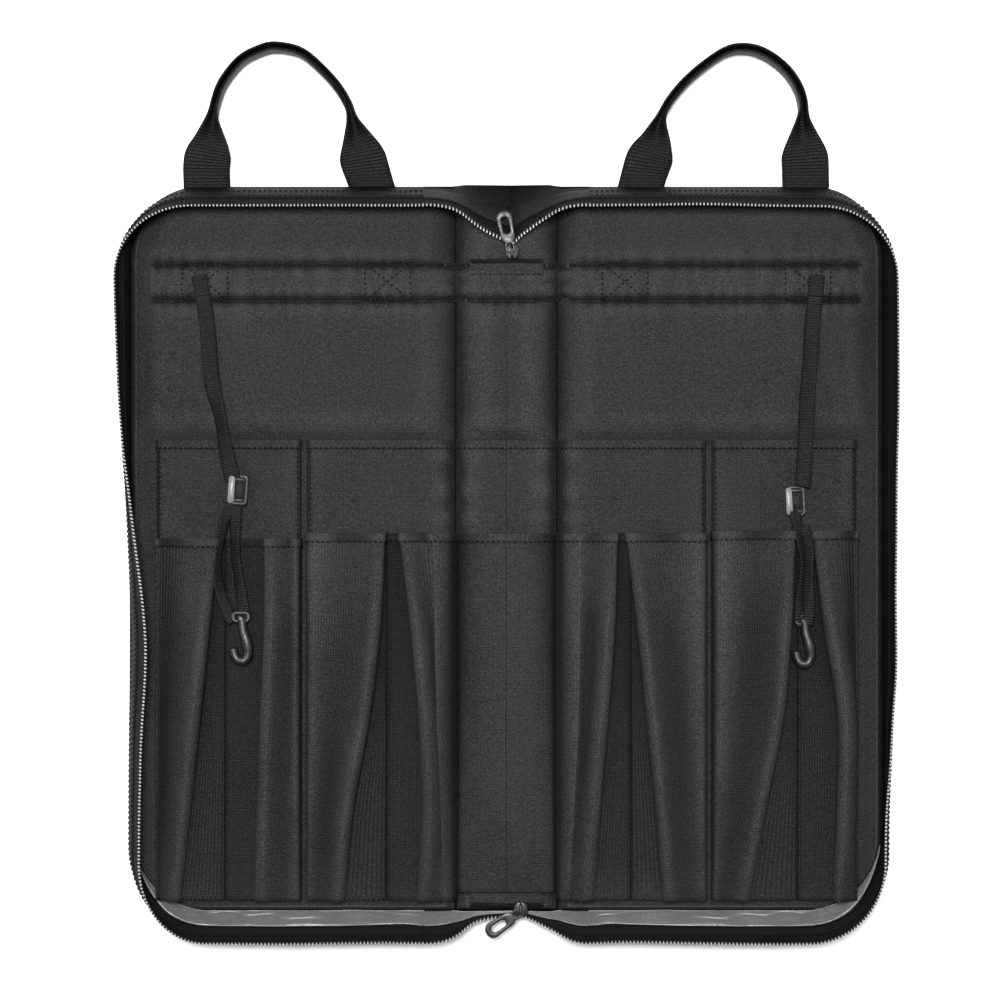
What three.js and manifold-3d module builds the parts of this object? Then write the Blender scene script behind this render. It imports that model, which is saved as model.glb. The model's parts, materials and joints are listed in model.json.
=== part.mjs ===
// Zip-round drum stick bag, lying open and flat on its back.
// Millimetres. +X right, +Y towards the carrying handles, +Z up out of the open bag.
// The origin is the centre of the spine's outer face.

import * as THREE from "three";
import { mergeVertices } from "three/addons/utils/BufferGeometryUtils.js";
import Module from "manifold-3d";

const wasm = await Module();
wasm.setup();

// ---------- driving dimensions ----------

const spineWidth = 65;
const coverWidth = 208.5;
const bagLength = 464;
const topCornerRadius = 45;
const bottomCornerRadius = 50;

const gap = 0.3;
const foldClearance = 0.4;

const shellThickness = 1.2;
const boardThickness = 4.5;
const liningThickness = 1.0;

const wallThickness = 1.4;
const wallLean = 0.5;
const wallFoldOffset = 20;
const gussetHeight = 16.5;
const bindingHeight = 5.5;
const zipTapeHeight = 5.6;
const zipCoilHeight = 1.6;
const zipCoilThickness = 3.0;

const bandWidth = 25;
const bandThickness = 0.8;
const bandInset = 61;
const bandOuterInset = 22;
const bandFoldMargin = 4;

const pocketClothThickness = 0.9;
const sleeveSpace = 4.6;
const sleeveMouthInset = 162;
const pocketFootInset = 17;
const lowerMouthInset = 224.5;
const pocketOuterInset = 18;
const pocketSplitOffset = 96.5;
const pocketSplitGap = 4;
const pleatMouthRise = 13.5;
const pleatFootRise = 3.2;
const spinePleatRise = 6.5;
const pleatWallRun = 1.6;

const webbingWidth = 30;
const webbingThickness = 1.2;
const handleOuterOffset = 159.5;
const handleInnerFootOffset = 43;
const handleInnerEdgeOffset = 54;
const handleFootLength = 74;
const handleRise = 89;
const handleHingeRoom = 2;
const handleGripWidth = 6.5;
const handleGripHeight = 15;
const handleLegShare = 0.22;
const handleTwistShare = 0.2;

const strapWidth = 10;
const strapThickness = 1.2;
const adjusterWidth = 12.6;
const adjusterLength = 20;
const adjusterThickness = 3;
const adjusterBar = 2.2;
const adjusterPlateWidth = 4.6;
const hookEyeWidth = 16;
const hookWireRadius = 1.5;
const hookBarRadius = 0.9;
const hookLength = 31;
const hookBowRadius = 6.5;

const endTabWidth = 47;
const endTabLength = 11.5;
const endTabThickness = 1.0;
const endWebThickness = 1.4;
const endWebSplit = 2.2;
const sliderWidth = 15;
const sliderLength = 9.5;
const sliderThickness = 4;
const sliderBridgeRise = 3.1;
const sliderBridgeRadius = 0.8;
const pullBarrelRadius = 2.1;
const pullBarrelLength = 3;
const pullThickness = 1.6;
const pullWidth = 10.5;
const pullLength = 26;
const pullSlotWidth = 3.6;
const pullSlotLength = 9;

// ---------- sizes that follow ----------

const foldX = spineWidth / 2;
const edgeY = bagLength / 2;
const bandCentreY = edgeY - bandInset;
const sleeveMouthY = edgeY - sleeveMouthInset;
const lowerMouthY = edgeY - lowerMouthInset;
const pocketFootY = -(edgeY - pocketFootInset);
const boardZ = shellThickness + gap;
const liningZ = boardZ + boardThickness + gap;
const liningTop = liningZ + liningThickness;
const bandZ = liningTop + gap;
const bandTop = bandZ + bandThickness;
const sleeveZ = liningTop + gap;
const sleeveTop = sleeveZ + sleeveSpace + pocketClothThickness;
const pleatZ = sleeveTop + gap;
const valleyTop = pleatZ + pocketClothThickness;
const gussetZ = shellThickness + gap;
const bindingZ = gussetZ + gussetHeight + gap;
const zipTapeZ = bindingZ + bindingHeight + gap;
const zipCoilZ = zipTapeZ + zipTapeHeight + gap;
const insetAt = (z) => wallThickness + wallLean * (z - gussetZ) + gap;
const boardInset = insetAt(boardZ + boardThickness);
const liningInset = insetAt(liningTop);
const endTabZ = bandTop + gap;
const endWebZ = endTabZ + endTabThickness + gap;

// ---------- finishes ----------

const finish = (color, roughness, metalness = 0) =>
  new THREE.MeshStandardMaterial({ color, roughness, metalness });
const outerFabric = () => finish(0x3a3a3c, 0.85);
const foam = () => finish(0x26262a, 0.95);
const liningFabric = () => finish(0x404042, 0.8);
const pocketFabric = () => finish(0x3c3c3e, 0.8);
const webbing = () => finish(0x29292b, 0.75);
const bindingTape = () => finish(0x2c2c2e, 0.7);
const zipTape = () => finish(0x242426, 0.8);
const silverCoil = () => finish(0xc8c8cc, 0.3, 0.9);
const blackPlastic = () => finish(0x121214, 0.35);
const blackMetal = () => finish(0x18181a, 0.3, 0.7);

// ---------- solids ----------

const model = new THREE.Group();
model.name = "drum_stick_bag";

function addPiece(name, geometry, material) {
  const mesh = new THREE.Mesh(geometry, material);
  mesh.name = name;
  model.add(mesh);
  return mesh;
}

function toManifold(geometry) {
  const bare = geometry.clone();
  bare.deleteAttribute("normal");
  bare.deleteAttribute("uv");
  const merged = mergeVertices(bare, 1e-4);
  return new wasm.Manifold(
    new wasm.Mesh({
      numProp: 3,
      vertProperties: new Float32Array(merged.attributes.position.array),
      triVerts: new Uint32Array(merged.index.array),
    }),
  );
}

function fromManifold(solid) {
  const mesh = solid.getMesh();
  const geometry = new THREE.BufferGeometry();
  geometry.setAttribute("position", new THREE.BufferAttribute(mesh.vertProperties, 3));
  geometry.setIndex(new THREE.BufferAttribute(mesh.triVerts, 1));
  geometry.computeVertexNormals();
  return geometry;
}

function cut(geometry, ...tools) {
  let solid = toManifold(geometry);
  for (const tool of tools) {
    solid = solid.subtract(toManifold(tool));
  }
  return fromManifold(solid);
}

function join(...geometries) {
  let solid = toManifold(geometries[0]);
  for (const geometry of geometries.slice(1)) {
    solid = solid.add(toManifold(geometry));
  }
  return fromManifold(solid);
}

// A flat plate: an outline in X and Y, raised from z by its thickness.
function plate(shape, z, thickness, curveSegments = 10) {
  const geometry = new THREE.ExtrudeGeometry(shape, {
    depth: thickness,
    bevelEnabled: false,
    curveSegments,
  });
  return geometry.translate(0, 0, z);
}

function block(x0, x1, y0, y1, z0, z1) {
  const geometry = new THREE.BoxGeometry(Math.abs(x1 - x0), Math.abs(y1 - y0), z1 - z0);
  return geometry.translate((x0 + x1) / 2, (y0 + y1) / 2, (z0 + z1) / 2);
}

function polygon(points) {
  return new THREE.Shape(points.map(([x, y]) => new THREE.Vector2(x, y)));
}

// ---------- outlines of the two covers ----------

// Outline of a cover, drawn for the right-hand one and mirrored by side:
// straight along the fold, with round outer corners, shrunk by inset all round its free edges.
function coverOutline(side, foldOffset, inset) {
  const inner = foldX + foldOffset;
  const outer = foldX + coverWidth - inset;
  const top = edgeY - inset;
  const points = [[inner, -top]];
  points.push(...cornerArc(outer, -top, 1, -1, bottomCornerRadius - inset));
  points.push(...cornerArc(outer, top, 1, 1, topCornerRadius - inset));
  points.push([inner, top]);
  return points.map(([x, y]) => [side * x, y]);
}

// Points round one outer corner, in the order that walks from the lower edge to the upper one.
function cornerArc(x, y, sx, sy, radius, steps = 10) {
  const points = [];
  for (let i = 0; i <= steps; i += 1) {
    const turn = (i / steps) * (Math.PI / 2);
    const angle = sy > 0 ? turn : turn - Math.PI / 2;
    points.push([
      x - sx * radius + radius * Math.cos(angle),
      y - sy * radius + radius * Math.sin(angle),
    ]);
  }
  return points;
}

function coverPlate(side, z, thickness, inset) {
  const foldOffset = z + thickness + foldClearance;
  return plate(polygon(coverOutline(side, foldOffset, inset)), z, thickness);
}

// A wall that follows a cover's free edges, leaning towards -Y as it rises.
function coverWall(side, z, height, thickness, inset) {
  const outside = coverOutline(side, wallFoldOffset, inset);
  const inside = coverOutline(side, wallFoldOffset, inset + thickness);
  const ring = polygon([...outside, ...inside.reverse()]);
  const geometry = plate(ring, z, height);
  const position = geometry.attributes.position;
  for (let i = 0; i < position.count; i += 1) {
    position.setY(i, position.getY(i) - wallLean * (position.getZ(i) - gussetZ));
  }
  return geometry;
}

// ---------- bars that follow a route ----------

// A bar of rectangular or round section carried along a route. place(t) gives the middle of the
// section and the two vectors that its unit axes become, for t from 0 to 1.
function carriedBar(section, steps, place) {
  const geometry = new THREE.ExtrudeGeometry(section, {
    depth: 1,
    steps,
    bevelEnabled: false,
    curveSegments: 3,
  });
  const position = geometry.attributes.position;
  for (let i = 0; i < position.count; i += 1) {
    const { middle, across, up } = place(position.getZ(i));
    const point = middle
      .clone()
      .addScaledVector(across, position.getX(i))
      .addScaledVector(up, position.getY(i));
    position.setXYZ(i, point.x, point.y, point.z);
  }
  return geometry;
}

function unitRectangle() {
  return polygon([
    [-0.5, -0.5],
    [0.5, -0.5],
    [0.5, 0.5],
    [-0.5, 0.5],
  ]);
}

function unitCircle(sides = 8) {
  const points = [];
  for (let i = 0; i < sides; i += 1) {
    const angle = ((i + 0.5) / sides) * 2 * Math.PI;
    points.push([Math.cos(angle), Math.sin(angle)]);
  }
  return polygon(points);
}

// A flat strap that follows a route through the given points, its width along X.
function flatStrap(points, width, thickness, stepsPerSpan) {
  const route = new THREE.CatmullRomCurve3(points.map((p) => new THREE.Vector3(...p)));
  return carriedBar(unitRectangle(), (points.length - 1) * stepsPerSpan, (t) => {
    const across = new THREE.Vector3(1, 0, 0);
    const up = new THREE.Vector3().crossVectors(route.getTangent(t), across).normalize();
    return {
      middle: route.getPoint(t),
      across: across.multiplyScalar(width),
      up: up.multiplyScalar(thickness),
    };
  });
}

// A round wire along a route that stays at one height.
function levelWire(points, radius, stepsPerSpan) {
  const route = new THREE.CatmullRomCurve3(points.map((p) => new THREE.Vector3(...p)));
  const vertical = new THREE.Vector3(0, 0, 1);
  return carriedBar(unitCircle(), (points.length - 1) * stepsPerSpan, (t) => {
    const across = new THREE.Vector3().crossVectors(vertical, route.getTangent(t));
    return {
      middle: route.getPoint(t),
      across: across.normalize().multiplyScalar(radius),
      up: vertical.clone().multiplyScalar(radius),
    };
  });
}

// ---------- spine and covers: shells, boards, linings, bands ----------

function spinePlate(z, thickness, inset) {
  const half = foldX - z - thickness - foldClearance;
  return block(-half, half, -(edgeY - inset), edgeY - inset, z, z + thickness);
}

function footOutline(side, edgeOffset, footOffset, clearance = 0) {
  const half = webbingWidth / 2 + clearance;
  const low = edgeY - handleFootLength - clearance;
  const high = edgeY + clearance;
  return polygon([
    [side * (foldX + footOffset - half), low],
    [side * (foldX + footOffset + half), low],
    [side * (foldX + edgeOffset + half), high],
    [side * (foldX + edgeOffset - half), high],
  ]);
}

const handleFeet = [
  { name: "outer", edge: handleOuterOffset, foot: handleOuterOffset },
  { name: "inner", edge: handleInnerEdgeOffset, foot: handleInnerFootOffset },
];

function addPanels(side, label) {
  const slots = handleFeet.map((foot) =>
    plate(footOutline(side, foot.edge, foot.foot, gap), -1, shellThickness + 2),
  );
  addPiece(
    `${label}_outer_shell`,
    cut(coverPlate(side, 0, shellThickness, 0), ...slots),
    outerFabric(),
  );
  addPiece(`${label}_foam_board`, coverPlate(side, boardZ, boardThickness, boardInset), foam());
  addPiece(
    `${label}_lining`,
    coverPlate(side, liningZ, liningThickness, liningInset),
    liningFabric(),
  );
  const bandInner = foldX + bandTop + bandFoldMargin;
  const bandOuter = foldX + coverWidth - bandOuterInset;
  addPiece(
    `${label}_band`,
    block(
      side * bandInner,
      side * bandOuter,
      bandCentreY - bandWidth / 2,
      bandCentreY + bandWidth / 2,
      bandZ,
      bandTop,
    ),
    webbing(),
  );
  for (const foot of handleFeet) {
    addPiece(
      `${label}_handle_${foot.name}_foot`,
      plate(footOutline(side, foot.edge, foot.foot), 0, webbingThickness),
      webbing(),
    );
  }
}

function addSpinePanels() {
  addPiece("spine_outer_shell", spinePlate(0, shellThickness, 0), outerFabric());
  addPiece("spine_foam_board", spinePlate(boardZ, boardThickness, boardInset), foam());
  addPiece("spine_lining", spinePlate(liningZ, liningThickness, liningInset), liningFabric());
  const half = foldX - bandTop - bandFoldMargin;
  addPiece(
    "spine_band",
    block(
      -half,
      half,
      bandCentreY - bandWidth / 2,
      bandCentreY + bandWidth / 2,
      bandZ,
      bandTop,
    ),
    webbing(),
  );
}

// ---------- walls and zip halves ----------

function addWalls(side, label) {
  addPiece(
    `${label}_gusset`,
    coverWall(side, gussetZ, gussetHeight, wallThickness, 0),
    outerFabric(),
  );
  addPiece(
    `${label}_edge_binding`,
    coverWall(side, bindingZ, bindingHeight, wallThickness, 0),
    bindingTape(),
  );
  addPiece(
    `${label}_zip_tape`,
    coverWall(side, zipTapeZ, zipTapeHeight, wallThickness, 0),
    zipTape(),
  );
  addPiece(
    `${label}_zip_coil`,
    coverWall(side, zipCoilZ, zipCoilHeight, zipCoilThickness, 0),
    silverCoil(),
  );
}

// Soft webs that close the corners between the spine's ends and the covers' walls.
function addEndWeb(side, end, label) {
  const z = endWebZ;
  const reach = foldX + wallFoldOffset - gap;
  const lean = wallLean * (z - gussetZ);
  const outer = end * edgeY - lean - end * gap;
  const notch = end > 0 ? edgeY - 36 : -(edgeY - 13);
  const side0 = side * endWebSplit;
  const side1 = side * reach;
  const web = polygon([
    [side0, outer],
    [side1, outer],
    [side1, outer - end * 18],
    [side0, notch],
  ]);
  addPiece(label, plate(web, z, endWebThickness), outerFabric());
}

function addEndTab(end, label) {
  const near = end > 0 ? edgeY - 58 : pocketFootY - 2 * gap - endTabLength;
  addPiece(
    label,
    block(
      -endTabWidth / 2,
      endTabWidth / 2,
      near,
      near + endTabLength,
      endTabZ,
      endTabZ + endTabThickness,
    ),
    liningFabric(),
  );
}

// ---------- pockets ----------

const coverPocketSpans = (side) => {
  const inner = foldX + sleeveTop + foldClearance;
  const split = foldX + pocketSplitOffset;
  const outer = foldX + coverWidth - pocketOuterInset;
  return {
    inner: [side * inner, side * (split - pocketSplitGap / 2)],
    outer: [side * (split + pocketSplitGap / 2), side * outer],
  };
};

// A flat sleeve pocket: a front cloth joined to the lining along both sides and its foot.
function sleevePocket([x0, x1]) {
  const low = Math.min(x0, x1);
  const high = Math.max(x0, x1);
  const wall = pocketClothThickness;
  const whole = block(low, high, pocketFootY, sleeveMouthY, sleeveZ, sleeveTop);
  const hollow = block(
    low + wall,
    high - wall,
    pocketFootY + wall,
    sleeveMouthY + 1,
    sleeveZ - 1,
    sleeveTop - wall,
  );
  return cut(whole, hollow);
}

// Offsets an open run of points to both sides, which gives the closed section of a cloth.
function clothSection(points, thickness) {
  const above = [];
  const below = [];
  points.forEach(([x, z], i) => {
    const before = points[Math.max(i - 1, 0)];
    const after = points[Math.min(i + 1, points.length - 1)];
    const first = direction(i > 0 ? before : [x, z], i > 0 ? [x, z] : after);
    const second = direction(
      i < points.length - 1 ? [x, z] : before,
      i < points.length - 1 ? after : [x, z],
    );
    const nx = -(first[1] + second[1]) / 2;
    const nz = (first[0] + second[0]) / 2;
    const miter = thickness / 2 / Math.max(nx * nx + nz * nz, 0.3);
    above.push([x + nx * miter, z + nz * miter]);
    below.push([x - nx * miter, z - nz * miter]);
  });
  return [...above, ...below.reverse()];
}

function direction(from, to) {
  const length = Math.hypot(to[0] - from[0], to[1] - from[1]);
  return [(to[0] - from[0]) / length, (to[1] - from[1]) / length];
}

// A cloth whose section changes evenly from the pocket's mouth to its foot.
function tapered(mouth, foot, steps) {
  const geometry = new THREE.ExtrudeGeometry(polygon(mouth), {
    depth: 1,
    steps,
    bevelEnabled: false,
  });
  const position = geometry.attributes.position;
  for (let i = 0; i < position.count; i += 1) {
    const x = position.getX(i);
    const z = position.getY(i);
    const t = position.getZ(i);
    const corner = nearestCorner(mouth, x, z);
    const [footX, footZ] = foot[corner];
    position.setXYZ(
      i,
      x + t * (footX - x),
      lowerMouthY + t * (pocketFootY - lowerMouthY),
      z + t * (footZ - z),
    );
  }
  return geometry;
}

function nearestCorner(points, x, z) {
  const distances = points.map(([px, pz]) => Math.hypot(px - x, pz - z));
  return distances.indexOf(Math.min(...distances));
}

// Section of a pair of pleated pockets side by side, as points of its middle line. seamX is the
// stitched seam between them, valley the half widths of the fold on each side of that seam.
function pleatLine(x0, x1, seamX, valley, rise, innerSlope) {
  const foot = pleatZ + pocketClothThickness / 2;
  const top = foot + rise;
  const run0 = innerSlope === "start" ? rise : pleatWallRun;
  const run1 = innerSlope === "end" ? rise : pleatWallRun;
  return [
    [x0, foot],
    [x0 + run0, top],
    [seamX - valley[0] - pleatWallRun, top],
    [seamX - valley[0], foot],
    [seamX + valley[1], foot],
    [seamX + valley[1] + pleatWallRun, top],
    [x1 - run1, top],
    [x1, foot],
  ];
}

function pleatedPair(x0, x1, seamX, mouthValley, footValley, innerSlope) {
  const margin = 2 * pocketClothThickness;
  const mouth = pleatLine(
    x0 + margin,
    x1 - margin,
    seamX,
    mouthValley,
    pleatMouthRise,
    innerSlope,
  );
  const foot = pleatLine(x0 + margin, x1 - margin, seamX, footValley, pleatFootRise, innerSlope);
  return tapered(
    clothSection(mouth, pocketClothThickness),
    clothSection(foot, pocketClothThickness),
    4,
  );
}

// Each seam's distance from the fold, and the half widths of the folds beside it towards -X and
// +X, at the mouth and at the foot.
const pleats = {
  left_lower_outer: { seam: 146.5, mouth: [4, 26.5], foot: [27.5, 19.5] },
  left_lower_inner: { seam: 43.5, mouth: [2, 8.5], foot: [27, 19.5] },
  right_lower_inner: { seam: 40.5, mouth: [3, 3], foot: [18, 27] },
  right_lower_outer: { seam: 153, mouth: [4, 10.5], foot: [31, 21.5] },
};

function addCoverPockets(side, label) {
  const spans = coverPocketSpans(side);
  for (const place of ["outer", "inner"]) {
    addPiece(`${label}_upper_${place}_pocket`, sleevePocket(spans[place]), pocketFabric());
    const [x0, x1] = [Math.min(...spans[place]), Math.max(...spans[place])];
    const pleat = pleats[`${label}_lower_${place}`];
    const slope = place === "inner" ? (side < 0 ? "end" : "start") : "none";
    addPiece(
      `${label}_lower_${place}_pocket`,
      pleatedPair(x0, x1, side * (foldX + pleat.seam), pleat.mouth, pleat.foot, slope),
      pocketFabric(),
    );
  }
}

function addSpinePockets() {
  const half = foldX - sleeveTop - foldClearance;
  addPiece("spine_upper_pocket", sleevePocket([-half, half]), pocketFabric());
  const foot = pleatZ + pocketClothThickness / 2;
  const edge = half - 2 * pocketClothThickness;
  const arch = (rise) => [
    [-edge, foot],
    [-edge + rise, foot + rise],
    [edge - rise, foot + rise],
    [edge, foot],
  ];
  addPiece(
    "spine_lower_pocket",
    tapered(
      clothSection(arch(spinePleatRise), pocketClothThickness),
      clothSection(arch(pleatFootRise), pocketClothThickness),
      4,
    ),
    pocketFabric(),
  );
}

// ---------- carrying handles ----------

// The free part of a handle: two flat legs that turn on edge and meet in a folded grip.
function addHandle(side, label) {
  const start = edgeY + handleHingeRoom;
  const outerX = foldX + handleOuterOffset;
  const innerX = foldX + handleInnerEdgeOffset;
  const crownX = (outerX + innerX) / 2 + 5;
  const points = [
    [outerX, 0],
    [outerX - 2.5, 0.32],
    [outerX - 5.5, 0.58],
    [outerX - 20, 0.84],
    [crownX, 1 - handleGripWidth / 2 / handleRise],
    [innerX + 34, 0.84],
    [innerX + 13, 0.58],
    [innerX + 7.5, 0.32],
    [innerX, 0],
  ];
  const route = new THREE.CatmullRomCurve3(
    points.map(([x, share]) => new THREE.Vector3(side * x, start + share * handleRise, 0)),
  );
  const vertical = new THREE.Vector3(0, 0, 1);
  const gripStart = handleLegShare + handleTwistShare;
  const place = (t) => {
    const fromFoot = Math.min(t, 1 - t) * 2;
    const turned = THREE.MathUtils.smoothstep(fromFoot, handleLegShare, gripStart);
    const width = THREE.MathUtils.lerp(webbingWidth, handleGripWidth, turned);
    const height = THREE.MathUtils.lerp(webbingThickness, handleGripHeight, turned);
    const along = fromFoot > 0.01 ? route.getTangent(t) : new THREE.Vector3(0, 0.5 - t, 0);
    const across = new THREE.Vector3().crossVectors(vertical, along).normalize();
    const middle = route.getPoint(t);
    middle.z = height / 2;
    return {
      middle,
      across: across.multiplyScalar(width),
      up: vertical.clone().multiplyScalar(height),
    };
  };
  addPiece(`${label}_handle`, carriedBar(unitRectangle(), 40, place), webbing());
}

// ---------- hook straps ----------

// Where each strap starts on its band, where its adjuster sits below the sleeve's mouth, and
// where its hook hangs below the stick pockets' mouths.
const strapPlace = (side, anchorX, adjusterX, adjusterDrop, hookX, hookDrop) => ({
  anchor: [side * (foldX + anchorX), bandCentreY + 4],
  adjuster: [side * (foldX + adjusterX), sleeveMouthY - adjusterDrop],
  hook: [side * (foldX + hookX), lowerMouthY - hookDrop],
});
const straps = {
  left: strapPlace(-1, 163.5, 137.5, 31.5, 136, 48.5),
  right: strapPlace(1, 165.5, 151.5, 38.5, 156, 50.5),
};

const strapOnBandZ = bandTop + gap + strapThickness / 2;
const strapOnSleeveZ = sleeveTop + gap + strapThickness / 2;
const strapInValleyZ = valleyTop + gap + strapThickness / 2;
const adjusterZ = sleeveTop + gap;
const loopRadius = hookBarRadius + gap + strapThickness / 2;
const hookBarZ = strapInValleyZ + loopRadius;

function addStrap(label) {
  const { anchor, adjuster } = straps[label];
  const end = adjuster[1] + adjusterLength / 2 + gap;
  const climb = sleeveMouthY + 14;
  const drift = (y) => adjuster[0] + ((y - end) / (anchor[1] - end)) * (anchor[0] - adjuster[0]);
  const points = [
    [anchor[0], anchor[1], strapOnBandZ],
    [drift(climb + 66), climb + 66, strapOnBandZ],
    [drift(climb + 31), climb + 31, strapOnBandZ],
    [drift(climb), climb, strapOnBandZ + 2.6],
    [drift(sleeveMouthY), sleeveMouthY, strapOnSleeveZ + 0.6],
    [drift(end), end, adjusterZ + adjusterThickness / 2],
  ];
  addPiece(`${label}_hook_strap`, flatStrap(points, strapWidth, strapThickness, 3), webbing());
}

// The strap's lower end, which runs to the hook, round its bar and back up to the adjuster.
function addStrapLoop(label) {
  const { adjuster, hook } = straps[label];
  const start = adjuster[1] - adjusterLength / 2 - gap;
  const low = strapInValleyZ;
  const high = low + 2 * loopRadius;
  const returnZ = low + strapThickness + 2 * gap;
  const bend = loopRadius * Math.SQRT1_2;
  const [x, y] = hook;
  const lower = [
    [adjuster[0], start, low],
    [x, lowerMouthY, low],
    [x, (lowerMouthY + y) / 2, low],
    [x, y + 3, low],
    [x, y, low],
  ];
  const turn = [
    [x, y - bend, hookBarZ - bend],
    [x, y - loopRadius, hookBarZ],
    [x, y - bend, hookBarZ + bend],
  ];
  const upper = [
    [x, y, high],
    [x, y + 3, high],
    [x, (lowerMouthY + y) / 2, (high + returnZ) / 2],
    [x, lowerMouthY, returnZ],
    [adjuster[0], start, returnZ],
  ];
  const route = [...lower, ...turn, ...upper];
  addPiece(`${label}_strap_loop`, flatStrap(route, strapWidth, strapThickness, 2), webbing());
}

// A ladder-shaped slider with a bar across its middle and an oval plate down one side.
function addAdjuster(label) {
  const [x, y] = straps[label].adjuster;
  const halfWidth = adjusterWidth / 2;
  const halfLength = adjusterLength / 2;
  const outline = new THREE.Shape();
  outline.moveTo(x - halfWidth + adjusterPlateWidth / 2, y - halfLength);
  outline.lineTo(x + halfWidth, y - halfLength);
  outline.lineTo(x + halfWidth, y + halfLength);
  outline.lineTo(x - halfWidth + adjusterPlateWidth / 2, y + halfLength);
  outline.absellipse(
    x - halfWidth + adjusterPlateWidth / 2,
    y,
    adjusterPlateWidth / 2,
    halfLength,
    Math.PI / 2,
    1.5 * Math.PI,
    false,
  );
  const slotHalf = (adjusterLength - 3 * adjusterBar) / 4;
  const slotX0 = x - halfWidth + adjusterPlateWidth;
  const slotX1 = x + halfWidth - adjusterBar * 0.6;
  for (const direction of [-1, 1]) {
    const middle = y + direction * (adjusterBar / 2 + slotHalf);
    const slot = new THREE.Path();
    slot.moveTo(slotX0, middle - slotHalf);
    slot.lineTo(slotX0, middle + slotHalf);
    slot.lineTo(slotX1, middle + slotHalf);
    slot.lineTo(slotX1, middle - slotHalf);
    slot.closePath();
    outline.holes.push(slot);
  }
  addPiece(`${label}_strap_adjuster`, plate(outline, adjusterZ, adjusterThickness), blackPlastic());
}

// An open hook under a rectangular eye, whose thin upper bar the strap goes round.
function addHook(label) {
  const [x, y] = straps[label].hook;
  const half = hookEyeWidth / 2 - hookWireRadius;
  const eyeFoot = y - 6;
  const bar = new THREE.CylinderGeometry(hookBarRadius, hookBarRadius, 2 * half, 8);
  bar.rotateZ(Math.PI / 2).translate(x, y, hookBarZ);
  const arms = [-1, 1].map((s) =>
    block(
      x + s * half - hookWireRadius,
      x + s * half + hookWireRadius,
      eyeFoot - hookWireRadius,
      y + hookWireRadius,
      hookBarZ - hookWireRadius,
      hookBarZ + hookWireRadius,
    ),
  );
  const foot = block(
    x - half,
    x + half,
    eyeFoot - hookWireRadius,
    eyeFoot + hookWireRadius,
    hookBarZ - hookWireRadius,
    hookBarZ + hookWireRadius,
  );
  const bow = hookBowRadius;
  const tip = y - hookLength + hookWireRadius;
  const wire = levelWire(
    [
      [x + 1, eyeFoot, hookBarZ],
      [x + bow * 0.75, eyeFoot - 4, hookBarZ],
      [x + bow, tip + bow * 1.9, hookBarZ],
      [x + bow * 0.8, tip + bow * 0.7, hookBarZ],
      [x, tip, hookBarZ],
      [x - bow * 0.75, tip + bow * 0.4, hookBarZ],
      [x - bow * 0.85, tip + bow * 1.3, hookBarZ],
      [x - bow * 0.6, tip + bow * 1.9, hookBarZ],
    ],
    hookWireRadius,
    2,
  );
  addPiece(`${label}_hook`, join(bar, ...arms, foot, wire), blackMetal());
}

// ---------- zip sliders and their pulls ----------

// Where each slider stands and the direction in which its pull lies.
const sliders = {
  top: { centre: [3.5, edgeY - 42], pull: [-0.2, 0.98] },
  bottom: { centre: [9, 4 - edgeY], pull: [-0.832, -0.555] },
};

const sliderZ = endWebZ + endWebThickness + gap;
const bridgeZ = sliderZ + sliderThickness + sliderBridgeRise;

// Turns a geometry drawn with its pull along +X at the origin to a slider's own place.
function placeOnSlider(geometry, label) {
  const { centre, pull } = sliders[label];
  return geometry.rotateZ(Math.atan2(pull[1], pull[0])).translate(centre[0], centre[1], 0);
}

function addSlider(label) {
  const { centre } = sliders[label];
  const body = block(
    centre[0] - sliderWidth / 2,
    centre[0] + sliderWidth / 2,
    centre[1] - sliderLength / 2,
    centre[1] + sliderLength / 2,
    sliderZ,
    sliderZ + sliderThickness,
  );
  const bar = new THREE.CylinderGeometry(sliderBridgeRadius, sliderBridgeRadius, 6, 8);
  const postInner = pullBarrelLength / 2 + gap;
  const posts = [-1, 1].map((s) =>
    placeOnSlider(
      block(
        -1.2,
        1.2,
        s > 0 ? postInner : -postInner - 1.4,
        s > 0 ? postInner + 1.4 : -postInner,
        sliderZ + sliderThickness - 1,
        bridgeZ + 1.2,
      ),
      label,
    ),
  );
  bar.translate(0, 0, bridgeZ);
  addPiece(`${label}_zip_slider`, join(body, placeOnSlider(bar, label), ...posts), blackMetal());
}

function addPull(label) {
  const inner = sliderBridgeRadius + gap;
  const outer = pullBarrelRadius;
  const half = pullBarrelLength / 2;
  const barrel = new THREE.LatheGeometry(
    [
      new THREE.Vector2(inner, -half),
      new THREE.Vector2(outer, -half),
      new THREE.Vector2(outer, half),
      new THREE.Vector2(inner, half),
      new THREE.Vector2(inner, -half),
    ],
    16,
  );
  barrel.translate(0, 0, bridgeZ);
  const neck = pullBarrelLength / 2;
  const shoulder = outer + 3;
  const outline = polygon([
    [(inner + outer) / 2, -neck],
    [shoulder, -neck],
    [shoulder + 3, -pullWidth / 2],
    [pullLength - 3, -pullWidth / 2],
    [pullLength, -pullWidth / 2 + 3],
    [pullLength, pullWidth / 2 - 3],
    [pullLength - 3, pullWidth / 2],
    [shoulder + 3, pullWidth / 2],
    [shoulder, neck],
    [(inner + outer) / 2, neck],
  ]);
  const slot = new THREE.Path();
  slot.absellipse(
    pullLength - 3 - pullSlotLength / 2,
    0,
    pullSlotLength / 2,
    pullSlotWidth / 2,
    0,
    2 * Math.PI,
    true,
  );
  outline.holes.push(slot);
  const tab = plate(outline, bridgeZ - pullThickness / 2, pullThickness, 6);
  addPiece(`${label}_zip_pull`, placeOnSlider(join(barrel, tab), label), blackMetal());
}

// ---------- assembly ----------

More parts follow.
